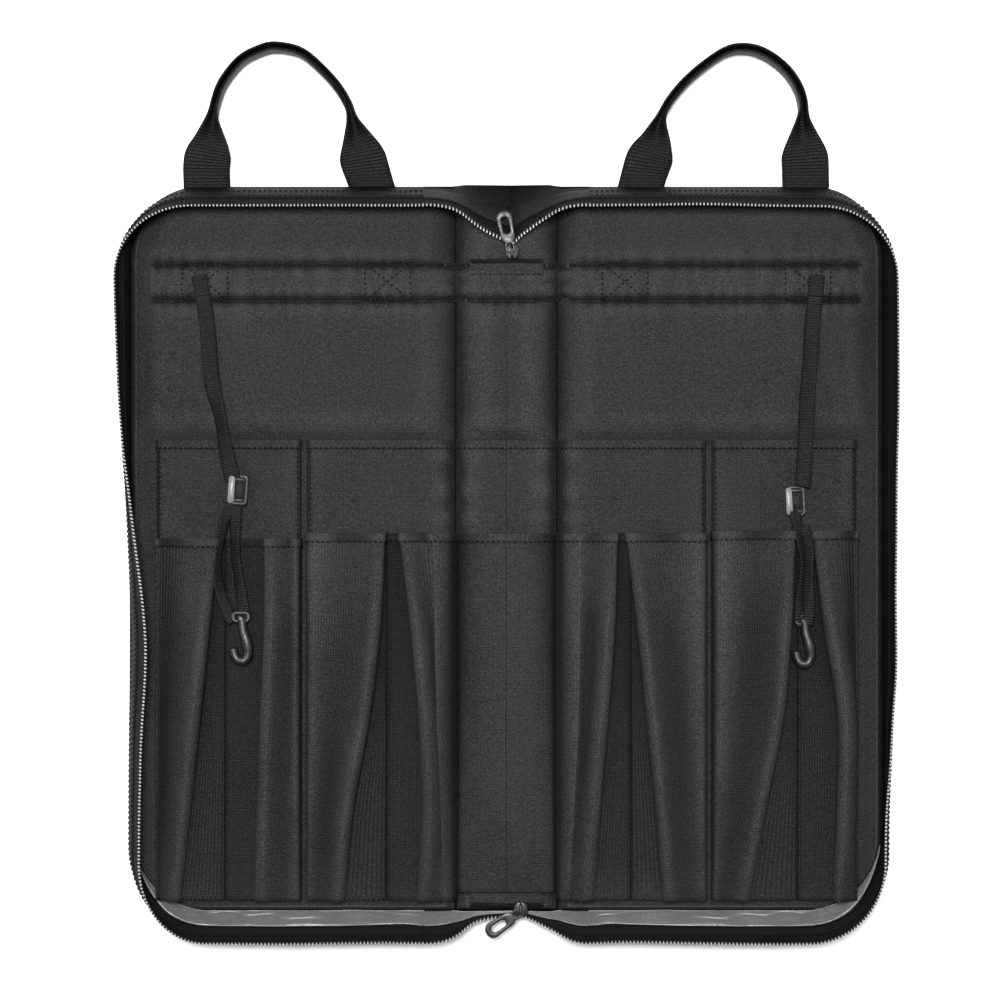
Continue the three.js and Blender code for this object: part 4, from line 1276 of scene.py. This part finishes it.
STRAP_LINE = {
    "left": ((-0.1958, 0.1752, 0.0122), (-0.1925, 0.1580, 0.0135), (-0.1898, 0.1400, 0.0150),
             (-0.1882, 0.1180, 0.0150), (-0.1862, 0.1020, 0.0152), (-0.1826, 0.0880, 0.0156),
             (-0.1795, 0.0700, 0.0160), (-0.1755, 0.0520, 0.0163), (-0.1738, 0.0450, 0.0166)),
    "right": ((0.1978, 0.1752, 0.0122), (0.1962, 0.1600, 0.0135), (0.1944, 0.1440, 0.0150),
              (0.1930, 0.1200, 0.0150), (0.1912, 0.1000, 0.0152), (0.1902, 0.0780, 0.0156),
              (0.1894, 0.0600, 0.0160), (0.1884, 0.0450, 0.0163), (0.1878, 0.0400, 0.0166)),
}
LOOP_LINE = {
    "left": (((-0.1745, 0.0300, 0.0166), (-0.1800, 0.0150, 0.0180), (-0.1832, -0.0050, 0.0190),
              (-0.1818, -0.0240, 0.0190), (-0.1765, -0.0400, 0.0180), (-0.1735, -0.0455, 0.0172)),
             ((-0.1716, 0.0285, 0.0166), (-0.1722, 0.0120, 0.0178), (-0.1715, -0.0060, 0.0185),
              (-0.1690, -0.0220, 0.0185), (-0.1668, -0.0370, 0.0178), (-0.1672, -0.0440, 0.0172))),
    "right": (((0.1826, 0.0270, 0.0166), (0.1862, 0.0080, 0.0180), (0.1885, -0.0080, 0.0190),
               (0.1868, -0.0260, 0.0190), (0.1862, -0.0420, 0.0180), (0.1872, -0.0480, 0.0172)),
              ((0.1888, 0.0160, 0.0166), (0.1916, 0.0000, 0.0178), (0.1908, -0.0180, 0.0208),
               (0.1912, -0.0300, 0.0211), (0.1914, -0.0400, 0.0200), (0.1908, -0.0475, 0.0179))),
}


STRAP_ROOT_ROWS = 9


def band_mesh(name, line, width, thickness, tilt, material, count=90, rows=slice(None)):
    """A flat strap along a line; tilt turns its width about the line, row by row. rows picks the
    stretch of the strap that the piece covers."""
    line = spline(line, count)
    tangent = np.gradient(line, axis=0)
    tangent /= np.linalg.norm(tangent, axis=1, keepdims=True)
    level = np.cross(tangent, [0, 0, 1.0])
    level /= np.linalg.norm(level, axis=1, keepdims=True)
    upright = np.cross(level, tangent)
    angle = np.interp(np.linspace(0, 1, count), np.linspace(0, 1, len(tilt)), np.radians(tilt))[:, None]
    wide = level * np.cos(angle) + upright * np.sin(angle)
    thin = np.cross(wide, tangent)
    s = np.linspace(-1, 1, 7)
    edge = np.array([0.5, 0.95, 1, 1, 1, 0.95, 0.5]) * thickness / 2
    upper = np.stack([s * width / 2, edge], axis=-1)
    lower = np.stack([s[::-1] * width / 2, -edge[::-1]], axis=-1)
    section = np.concatenate([upper, lower])
    points = line[:, None] + wide[:, None] * section[None, :, :1] + thin[:, None] * section[None, :, 1:]
    return tube_from_rings(name, points[rows], material)


def make_hook_strap(label):
    """The strap from the band to the adjuster, with one twist, and its sewn anchor patch."""
    width = sizes().strap_width
    tilt = [0, 6, 14, 20, 8, -30, -44, -18, 0] if label == "left" else [0, -8, -16, -22, -26, -24, -16, -8, 0]
    piece = band_mesh(f"{label}_strap_webbing", STRAP_LINE[label], width, 0.0013, tilt,
                      strap_webbing(), rows=slice(STRAP_ROOT_ROWS, None))
    root = band_mesh(f"{label}_strap_root", STRAP_LINE[label], width, 0.0013, tilt,
                     strap_webbing(), rows=slice(STRAP_ROOT_ROWS + 1))
    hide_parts(f"{label}_hook_strap")
    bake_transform(root)
    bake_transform(piece)


def make_strap_loop(label):
    """The strap's loop: it leaves the adjuster, passes through the hook's eye and returns."""
    out_leg, back_leg = LOOP_LINE[label]
    width = sizes().strap_width * 0.72
    bodies = (f"{label}_adjuster", f"{label}_hook_carrier")
    for name, line, tilt in (("out", out_leg, [0, 30, 48, 48, 24, 0]),
                             ("back", back_leg, [0, -26, -36, -36, -20, 0])):
        piece = band_mesh(f"{label}_loop_{name}", line, width, 0.0012, tilt, strap_webbing(), 70)
        if name == "out":
            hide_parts(f"{label}_strap_loop")
        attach(piece, bodies[1])


def rounded_outline(width, length_y, corner, count=8):
    """Outline of a rectangle with round corners, counter-clockwise."""
    points = []
    for k, (sx, sy) in enumerate(((1, 1), (-1, 1), (-1, -1), (1, -1))):
        turn = np.linspace(0, np.pi / 2, count) + k * np.pi / 2
        middle = np.array([sx * (width / 2 - corner), sy * (length_y / 2 - corner)])
        points.append(middle + corner * np.stack([np.cos(turn), np.sin(turn)], axis=-1))
    return np.concatenate(points)


def plate(name, outline, centre, axes, thickness, material, bevel=0.0003):
    """A flat plate with rounded rims: the outline is stacked in five rings and closed by middles."""
    axis_x, axis_y, axis_z = (np.asarray(a, float) for a in axes)
    spread = outline / np.maximum(np.linalg.norm(outline, axis=1, keepdims=True), 1e-9)
    rings = []
    for z_share, inset in ((-1, 1.0), (-0.7, 0.3), (0, 0), (0.7, 0.3), (1, 1.0)):
        ring = outline - spread * inset * bevel
        z = z_share * thickness / 2
        rings.append(centre + ring[:, :1] * axis_x + ring[:, 1:] * axis_y + z * axis_z)
    path = np.stack(rings)
    columns = path.shape[1]
    faces = quad_faces(5, columns, wrap=True).tolist()
    vertices = np.concatenate([path.reshape(-1, 3), [path[0].mean(0)], [path[-1].mean(0)]])
    base = 4 * columns
    for k in range(columns):
        n = (k + 1) % columns
        faces.append([k, n, 5 * columns])
        faces.append([base + n, base + k, 5 * columns + 1])
    return put_mesh(name, vertices, faces, material)


def frame_ring(name, outer, inner, centre, axes, thickness, material):
    """A flat ring between two outlines of equal point counts, with rounded rims."""
    axis_x, axis_y, axis_z = (np.asarray(a, float) for a in axes)
    profile = [(0.0, 0.72), (0.12, 1.0), (0.5, 1.1), (0.88, 1.0), (1.0, 0.72), (1.0, -0.72),
               (0.88, -1.0), (0.5, -1.1), (0.12, -1.0), (0.0, -0.72)]
    rows = []
    for across, z_share in profile:
        ring = outer * (1 - across) + inner * across
        z = z_share * thickness / 2
        rows.append(centre + ring[:, :1] * axis_x + ring[:, 1:] * axis_y + z * axis_z)
    points = np.stack(rows)
    closed = np.concatenate([points, points[:1]])
    count, columns = points.shape[:2]
    faces = quad_faces(count + 1, columns, wrap=True) % (count * columns)
    return put_mesh(name, closed[:-1].reshape(-1, 3), faces, material)


def oval(width, length_y, count=32):
    """Outline of a slot: straight sides and round ends."""
    return rounded_outline(width, length_y, min(width, length_y) / 2 - 0.00001, count // 4)


def adjuster_axes(label):
    """The adjuster's middle, and its own axes: across the strap, along it, and up."""
    node = f"{label}_strap_adjuster"
    centre = (low(node) + high(node)) / 2
    lean = math.radians(-4 if label == "left" else 3)
    axis_y = np.array([-math.sin(lean), math.cos(lean), 0.0])
    axis_x = np.array([math.cos(lean), math.sin(lean), 0.0])
    return centre, (axis_x, axis_y, np.array([0, 0, 1.0]))


def make_adjuster(label):
    """The slide adjuster: a moulded frame with two bars, and a pale oval plate at its left side, a
    painted highlight for the light caught on the adjuster's edge.
    """
    centre, axes = adjuster_axes(label)
    body = f"{label}_adjuster"
    outer = rounded_outline(0.0116, 0.0196, 0.0026)
    inner = rounded_outline(0.0076, 0.0150, 0.0012)
    ring = frame_ring(f"{label}_adjuster_frame", outer, inner, centre, axes, 0.0026, black_plastic())
    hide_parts(f"{label}_strap_adjuster")
    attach(ring, body)
    for k, place in enumerate((-0.0066, 0.0066)):
        middle = centre + axes[1] * place + axes[2] * 0.0012
        bar = plate(f"{label}_adjuster_bar_{k + 1}", rounded_outline(0.0088, 0.0024, 0.0011), middle,
                    axes, 0.0022, black_plastic())
        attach(bar, body)
    web = plate(f"{label}_adjuster_web", rounded_outline(0.0078, 0.0120, 0.0006),
                centre + axes[2] * 0.0004, axes, 0.0024, strap_webbing())
    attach(web, body)
    # painted highlight: a pale oval plate where light catches the adjuster's edge
    place = centre - axes[0] * 0.0046 + axes[2] * 0.0019
    shape = oval(0.0040, 0.0176)
    highlight_plate = plate(f"{label}_adjuster_highlight_plate", shape, place, axes, 0.0012, side_highlight_finish())
    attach(highlight_plate, body)


def round_bar(name, path, radius, material, around=12):
    """A round bar along a line with domed ends: the radius falls to nothing over the last points."""
    path = np.asarray(path, float)
    tangent = np.gradient(path, axis=0)
    tangent /= np.linalg.norm(tangent, axis=1, keepdims=True)
    level = np.cross(tangent, [0, 0, 1.0])
    level /= np.maximum(np.linalg.norm(level, axis=1, keepdims=True), 1e-6)
    upright = np.cross(level, tangent)
    steps = np.concatenate([[0], np.cumsum(np.linalg.norm(np.diff(path, axis=0), axis=1))])
    near = np.minimum(steps, steps[-1] - steps)
    size = np.asarray(radius) * np.sqrt(np.clip(1 - (1 - np.clip(near / 0.0012, 0, 1)) ** 2, 0.02, 1))
    phi = 2 * np.pi * np.arange(around) / around
    section = np.stack([np.cos(phi), np.sin(phi)], axis=-1)[None] * np.broadcast_to(
        size, (len(path),))[:, None, None]
    return swept(name, path, level, upright, section, material)


def make_hook(label):
    """An open hook: an eye bar at the strap, a shank, and a bow that comes back up beside it."""
    node = f"{label}_hook"
    lo, hi = low(node), high(node)
    middle_z = (lo[2] + hi[2]) / 2
    shift = (lo[0] + hi[0]) / 2
    top, foot = hi[1], lo[1]
    reach = (top - foot)
    control = [(-0.0024, top - 0.0030), (0.0004, top - 0.12 * reach), (0.0014, top - 0.34 * reach),
               (0.0036, top - 0.56 * reach), (0.0046, foot + 0.20 * reach), (0.0022, foot + 0.07 * reach),
               (-0.0018, foot + 0.08 * reach), (-0.0042, foot + 0.19 * reach),
               (-0.0050, foot + 0.33 * reach)]
    line = spline(np.array([[shift + x, y, middle_z] for x, y in control]), 90)
    s = np.linspace(0, 1, 90)
    shank = np.exp(-(((s - 0.42) / 0.16) ** 2))
    bow = np.exp(-(((s - 0.75) / 0.1) ** 2))
    thick = 0.0029 + 0.0008 * shank + 0.0004 * bow
    bar = round_bar(f"{label}_hook_bow", line, thick, black_metal())
    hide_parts(node)
    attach(bar, f"{label}_snap_hook")
    eye = frame_ring(f"{label}_hook_eye", rounded_outline(0.0124, 0.0074, 0.0034),
                     rounded_outline(0.0072, 0.0030, 0.0012),
                     np.array([shift, top - 0.0026, middle_z]),
                     (np.array([1.0, 0, 0]), np.array([0, 1.0, 0]), np.array([0, 0, 1.0])), 0.0028,
                     black_metal())
    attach(eye, f"{label}_snap_hook")


# ---------- zip sliders and pulls ----------


def flat_axes(direction):
    """Axes of a flat part that points a given way: across, along and up."""
    axis_y = np.array([direction[0], direction[1], 0.0])
    axis_y /= np.linalg.norm(axis_y)
    return np.array([axis_y[1], -axis_y[0], 0.0]), axis_y, np.array([0, 0, 1.0])


def make_slider(end_name):
    """A zip slider: two shield plates one above the other, joined by a neck, with a bridge on top."""
    end = 1 if end_name == "top" else -1
    centre = SLIDER_PLACE[end_name].copy()
    node_low, node_high = low(f"{end_name}_zip_slider"), high(f"{end_name}_zip_slider")
    axes = flat_axes((0, end))
    body = f"{end_name}_slider"
    spread = node_high - node_low
    width, run = min(spread[0], spread[1] * 1.2), spread[1]
    shield = rounded_outline(width * 0.86, run, 0.0034)
    shield[:, 0] *= 0.78 + 0.22 * smooth(shield[:, 1], -run / 2, run / 2)
    for k, (name, z) in enumerate((("upper", node_low[2] + 0.0034), ("lower", node_low[2] + 0.0007))):
        piece = plate(f"{end_name}_slider_{name}", shield, np.array([centre[0], centre[1], z]), axes,
                      0.0013, black_metal(), bevel=0.0005)
        if k == 0:
            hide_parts(f"{end_name}_zip_slider")
        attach(piece, body)
    neck = plate(f"{end_name}_slider_neck", rounded_outline(0.0034, 0.0040, 0.0012),
                 np.array([centre[0], centre[1] + end * 0.0022, node_low[2] + 0.0020]), axes, 0.0030,
                 black_metal())
    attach(neck, body)
    z = node_low[2] + 0.0034
    top_z = node_high[2] - 0.0008
    bridge = np.array([[centre[0], centre[1] - end * 0.0036, z],
                       [centre[0], centre[1] - end * 0.0032, top_z - 0.0006],
                       [centre[0], centre[1] - end * 0.0010, top_z],
                       [centre[0], centre[1] + end * 0.0018, top_z - 0.0002],
                       [centre[0], centre[1] + end * 0.0034, z + 0.0008],
                       [centre[0], centre[1] + end * 0.0036, z]])
    bar = round_bar(f"{end_name}_slider_bridge", spline(bridge, 40), 0.0009, black_metal(), 10)
    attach(bar, body)


PULL_WAY = {"top": (-0.2, 0.98), "bottom": (-0.832, -0.555)}


def make_pull(end_name):
    """A zip pull: a flat tongue with an oval hole, hung from the slider's bridge by a small ring."""
    node = f"{end_name}_zip_pull"
    axes = flat_axes(PULL_WAY[end_name])
    lo, hi = low(node), high(node)
    centre = (lo + hi) / 2
    run = 0.0262
    z = (lo[2] + hi[2]) / 2
    middle = np.array([centre[0], centre[1], z]) + axes[1] * 0.0012
    middle[2] = z
    outer = rounded_outline(0.0104, run * 0.80, 0.0046)
    outer[:, 0] *= 0.82 + 0.18 * smooth(outer[:, 1], -run * 0.4, run * 0.2)
    hole = rounded_outline(0.0046, run * 0.40, 0.0022)
    hole = hole + np.array([0, run * 0.05])
    tongue = frame_ring(f"{end_name}_pull_tongue", outer, hole, middle + axes[1] * 0.0020, axes, 0.0014,
                        black_metal())
    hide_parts(node)
    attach(tongue, f"{end_name}_pull")
    ring = frame_ring(f"{end_name}_pull_link", rounded_outline(0.0062, 0.0078, 0.0029),
                      rounded_outline(0.0036, 0.0050, 0.0017), middle - axes[1] * 0.0106, axes, 0.0013,
                      black_metal())
    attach(ring, f"{end_name}_pull")


# ---------- tabs at the spine's ends ----------


def make_end_tab(end_name):
    """The folded cloth tab at the spine's end, sewn down by a zigzag seam and a straight one."""
    node = f"{end_name}_end_tab"
    lo, hi = low(node), high(node)
    end = 1 if end_name == "top" else -1
    half = hi[0]
    x, y = np.meshgrid(np.linspace(-half, half, 40), np.linspace(hi[1], lo[1], 12))
    droop = 0.0010 * (np.abs(x) / half) ** 2
    base = over_pad(np.zeros_like(x), (lo[1] + hi[1]) / 2, 0.0030)
    z = base + 0.0005 * ripple(x, y, 61 if end > 0 else 62, 3.0) - droop
    z = z - 0.0014 * smooth(np.abs(y - (lo[1] + hi[1]) / 2), 0.6 * (hi[1] - lo[1]) / 2, (hi[1] - lo[1]) / 2)
    piece = cloth_shell(f"{end_name}_tab_cloth", np.stack([x, y, z], -1), 0.0014, pocket_cloth())
    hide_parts(node)
    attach(piece, "spine")
    count = 46
    xs = np.linspace(-half + 0.001, half - 0.001, count)
    edge_y = (hi[1] if end > 0 else lo[1]) - end * 0.0020
    ys = edge_y + 0.0011 * np.where(np.arange(count) % 2 == 0, 1.0, -1.0)
    top_z = float(base.max())
    zigzag = np.stack([xs, ys, np.full(count, top_z + 0.0002)], axis=-1)
    flat_y = (lo[1] if end > 0 else hi[1]) + end * 0.0018
    plain = np.stack([xs, np.full(count, flat_y), np.full(count, top_z + 0.0001)], axis=-1)
    middles = (zigzag[1:] + zigzag[:-1]) / 2
    directions = np.diff(zigzag, axis=0)
    rows = [(middles, directions, np.tile([0, 0, 1.0], (count - 1, 1))),
            stitch_row(plain, np.array([0, 0, 1.0]))]
    sew(f"{end_name}_tab_stitching", rows, "spine")


# ---------- pieces carried over from the frame ----------


def dress_frame_nodes():
    """Every node of the frame that still shows gets its procedural finish."""
    for label in list(SIDES) + ["spine"]:
        dress(f"{label}_foam_board", foam_finish())
        dress(f"{label}_outer_shell", outer_cloth_flat())
    for label in SIDES:
        for place in ("outer", "inner"):
            dress(f"{label}_handle_{place}_foot", foot_webbing())


def foot_webbing():
    """The handles' webbing where it is sewn down, patterned on the bag's own axes."""
    return cloth_finish("foot_webbing", colours().webbing, pitch=0.0019, rough=0.62, sheen=0.0,
                        depth=0.0004, weave="rib", spec=0.15, on_surface=False)


def dress(node, material):
    """Gives a node of the frame its finish."""
    piece = bpy.data.objects[node]
    piece.data.materials.clear()
    piece.data.materials.append(material)


def make_anchor_patch(label):
    """Box-and-cross seams where a handle's feet and the straps are sewn through the band."""
    side = SIDES[label]
    y0, y1 = low("left_band")[1] + 0.0004, high("left_band")[1] - 0.0004
    rows = []
    for centre in (0.192, 0.0755):
        x0, x1 = side * centre - 0.0145, side * centre + 0.0145
        corners = [(x0, y0), (x1, y0), (x1, y1), (x0, y1), (x0, y0)]
        runs = [corners, [(x0, y0), (x1, y1)], [(x0, y1), (x1, y0)]]
        for run in runs:
            flat = even(np.array(run), 60)
            z = over_pad(flat[:, 0], flat[:, 1], 0.0018)
            rows.append(stitch_row(np.column_stack([flat, z]), np.array([0, 0, 1.0])))
    sew(f"{label}_box_stitching", rows, f"{label}_cover")


# ---------- studio ----------


def make_stage():
    """Pale floor, a soft light to each side, a broad fill overhead, and the camera looking down."""
    data = bpy.data.meshes.new("studio_floor")
    half = 3.0
    data.from_pydata([(-half, -half, -0.0002), (half, -half, -0.0002), (half, half, -0.0002),
                      (-half, half, -0.0002)], [], [(0, 1, 2, 3)])
    floor = bpy.data.objects.new("studio_floor", data)
    bpy.context.scene.collection.objects.link(floor)
    material = bpy.data.materials.new("studio_floor")
    material.use_nodes = True
    shader = material.node_tree.nodes["Principled BSDF"]
    shader.inputs["Base Color"].default_value = shade(colours().floor, 1.0)
    shader.inputs["Roughness"].default_value = 0.9
    data.materials.append(material)
    for name, place, size, power, aim in (
        ("left_softbox", (-0.98, 0.10, 0.56), (0.45, 1.2), 6.0, (0.15, 0, 0)),
        ("right_softbox", (0.98, 0.10, 0.56), (0.45, 1.2), 5.0, (-0.15, 0, 0)),
        ("overhead_light", (-0.10, 0.36, 2.2), (0.6, 0.5), 76.0, (0, 0, 0)),
    ):
        lamp = bpy.data.lights.new(name, "AREA")
        lamp.shape = "RECTANGLE"
        lamp.size, lamp.size_y = size
        lamp.energy = power
        light = bpy.data.objects.new(name, lamp)
        light.location = place
        light.rotation_euler = look_at(place, aim)
        bpy.context.scene.collection.objects.link(light)
    world = bpy.data.worlds.new("studio")
    world.use_nodes = True
    world.node_tree.nodes["Background"].inputs[0].default_value = (1, 1, 1, 1)
    world.node_tree.nodes["Background"].inputs[1].default_value = 0.12
    bpy.context.scene.world = world
    bpy.context.scene.view_settings.view_transform = "Standard"
    lens = bpy.data.cameras.new("camera")
    lens.lens = 85.0
    lens.sensor_width = 36.0
    lens.clip_start = 0.05
    camera = bpy.data.objects.new("camera", lens)
    camera.location = (-0.0041, 0.0321, 1.515)
    camera.rotation_euler = (0, 0, 0)
    bpy.context.scene.collection.objects.link(camera)
    bpy.context.scene.camera = camera


def look_at(place, aim):
    """The turn that points a lamp's or a camera's own -Z from one place at another."""
    return (Vector(aim) - Vector(place)).to_track_quat("-Z", "Y").to_euler()


def make_sleeves():
    """The covers' flat pockets and the spine's, whose cloth runs on over both folds."""
    for label in SIDES:
        for place in ("outer", "inner"):
            x0, x1 = pocket_edges(label, place)
            node = f"{label}_upper_{place}_pocket"
            for item in sleeve_pieces(f"{label}_{place}_sleeve", node, x0, x1, (x0, x1),
                                      f"{label}_lining_pad"):
                if place == "inner":
                    bend_at_fold(item, label)
                else:
                    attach(item, f"{label}_cover")
    half = FOLD_X - 0.0004
    for label, span in (("left", (-half, 0.0)), ("right", (0.0, half))):
        for item in sleeve_pieces(f"spine_{label}_sleeve", "spine_upper_pocket", *span, (-half, half),
                                  f"spine_{label}_pad"):
            settle_spine(item, label)


# ---------- operators, panel and run ----------

class StickBagWalls(bpy.types.Operator):
    """Gusset, binding, zip tape, satin lining and teeth round each cover."""

    bl_idname = "bag.walls"
    bl_label = "Walls and zip"

    def execute(self, context):
        for label in SIDES:
            make_wall_layers(label)
        return {"FINISHED"}


class StickBagEndWebs(bpy.types.Operator):
    """The cloth corners that join the spine's ends to the covers' walls."""

    bl_idname = "bag.end_webs"
    bl_label = "Soft corners"

    def execute(self, context):
        for end_name in SLIDER_PLACE:
            for label in SIDES:
                make_web_layers(end_name, label)
        return {"FINISHED"}


class StickBagFolds(bpy.types.Operator):
    """The outer cloth's strips at the two folds."""

    bl_idname = "bag.folds"
    bl_label = "Folds"

    def execute(self, context):
        for label in SIDES:
            make_fold_hinge(label)
        return {"FINISHED"}


class StickBagPads(bpy.types.Operator):
    """The padded lining of the covers and the spine."""

    bl_idname = "bag.pads"
    bl_label = "Padded lining"

    def execute(self, context):
        for label in ("left", "spine", "right"):
            make_pad(label)
        return {"FINISHED"}


class StickBagBands(bpy.types.Operator):
    """The band across the panels, with its seams."""

    bl_idname = "bag.bands"
    bl_label = "Bands"

    def execute(self, context):
        for label in ("left", "spine", "right"):
            make_band(label)
        for label in SIDES:
            make_anchor_patch(label)
        return {"FINISHED"}


class StickBagSleeves(bpy.types.Operator):
    """The flat pockets behind the stick pockets, on the covers and the spine."""

    bl_idname = "bag.sleeves"
    bl_label = "Flat pockets"

    def execute(self, context):
        make_sleeves()
        return {"FINISHED"}


class StickBagStickPockets(bpy.types.Operator):
    """The pleated stick pockets of the covers and the spine's own."""

    bl_idname = "bag.stick_pockets"
    bl_label = "Stick pockets"

    def execute(self, context):
        for label in SIDES:
            for place in ("outer", "inner"):
                make_stick_pair(label, place)
        make_spine_stick_pocket()
        return {"FINISHED"}


class StickBagHandles(bpy.types.Operator):
    """The two carrying handles."""

    bl_idname = "bag.handles"
    bl_label = "Handles"

    def execute(self, context):
        for label in SIDES:
            make_handle(label)
        return {"FINISHED"}


class StickBagStraps(bpy.types.Operator):
    """The hook straps and the loops that hold the hooks."""

    bl_idname = "bag.straps"
    bl_label = "Hook straps"

    def execute(self, context):
        for label in SIDES:
            make_hook_strap(label)
            make_strap_loop(label)
        return {"FINISHED"}


class StickBagAdjusters(bpy.types.Operator):
    """The slide adjusters, each with its oval plate."""

    bl_idname = "bag.adjusters"
    bl_label = "Adjusters"

    def execute(self, context):
        for label in SIDES:
            make_adjuster(label)
        return {"FINISHED"}


class StickBagHooks(bpy.types.Operator):
    """The hooks at the ends of the straps."""

    bl_idname = "bag.hooks"
    bl_label = "Hooks"

    def execute(self, context):
        for label in SIDES:
            make_hook(label)
        return {"FINISHED"}


class StickBagSliders(bpy.types.Operator):
    """The zip's two sliders and their pulls."""

    bl_idname = "bag.sliders"
    bl_label = "Zip sliders"

    def execute(self, context):
        for end_name in SLIDER_PLACE:
            make_slider(end_name)
            make_pull(end_name)
        return {"FINISHED"}


class StickBagTabs(bpy.types.Operator):
    """The sewn tabs at the spine's ends."""

    bl_idname = "bag.end_tabs"
    bl_label = "End tabs"

    def execute(self, context):
        for end_name in SLIDER_PLACE:
            make_end_tab(end_name)
        return {"FINISHED"}


class StickBagFrameFinishes(bpy.types.Operator):
    """Finishes of the foam boards, outer shells and handle feet."""

    bl_idname = "bag.frame_finishes"
    bl_label = "Boards and shells"

    def execute(self, context):
        dress_frame_nodes()
        return {"FINISHED"}


class StickBagStudio(bpy.types.Operator):
    """Floor, lights, world and camera."""

    bl_idname = "bag.studio"
    bl_label = "Studio"

    def execute(self, context):
        make_stage()
        return {"FINISHED"}


BUILD_ORDER = (
    StickBagStudio,
    StickBagWalls,
    StickBagEndWebs,
    StickBagFolds,
    StickBagPads,
    StickBagBands,
    StickBagSleeves,
    StickBagStickPockets,
    StickBagHandles,
    StickBagStraps,
    StickBagAdjusters,
    StickBagHooks,
    StickBagSliders,
    StickBagTabs,
    StickBagFrameFinishes,
)


class StickBagPanel(bpy.types.Panel):
    """Lists the bag's pieces and its settings in the sidebar."""

    bl_idname = "VIEW3D_PT_stick_bag"
    bl_label = "Drum stick bag"
    bl_space_type = "VIEW_3D"
    bl_region_type = "UI"
    bl_category = "Stick Bag"

    def draw(self, context):
        for group in (sizes(), colours()):
            box = self.layout.box()
            for key in group.bl_rna.properties.keys():
                if key not in ("rna_type", "name"):
                    box.prop(group, key)
        for operator in BUILD_ORDER:
            self.layout.operator(operator.bl_idname)


CLASSES = (StickBagSizes, StickBagColours, *BUILD_ORDER, StickBagPanel)


def register():
    """Registers the classes and their settings."""
    for item in CLASSES:
        bpy.utils.register_class(item)
    bpy.types.Scene.stick_bag_sizes = bpy.props.PointerProperty(type=StickBagSizes)
    bpy.types.Scene.stick_bag_colours = bpy.props.PointerProperty(type=StickBagColours)


def unregister():
    """Removes the settings and the classes."""
    del bpy.types.Scene.stick_bag_colours
    del bpy.types.Scene.stick_bag_sizes
    for item in reversed(CLASSES):
        bpy.utils.unregister_class(item)


def main():
    """Builds the bag."""
    register()
    for operator in BUILD_ORDER:
        area, name = operator.bl_idname.split(".")
        getattr(getattr(bpy.ops, area), name)()


if __name__ == "__main__":
    main()
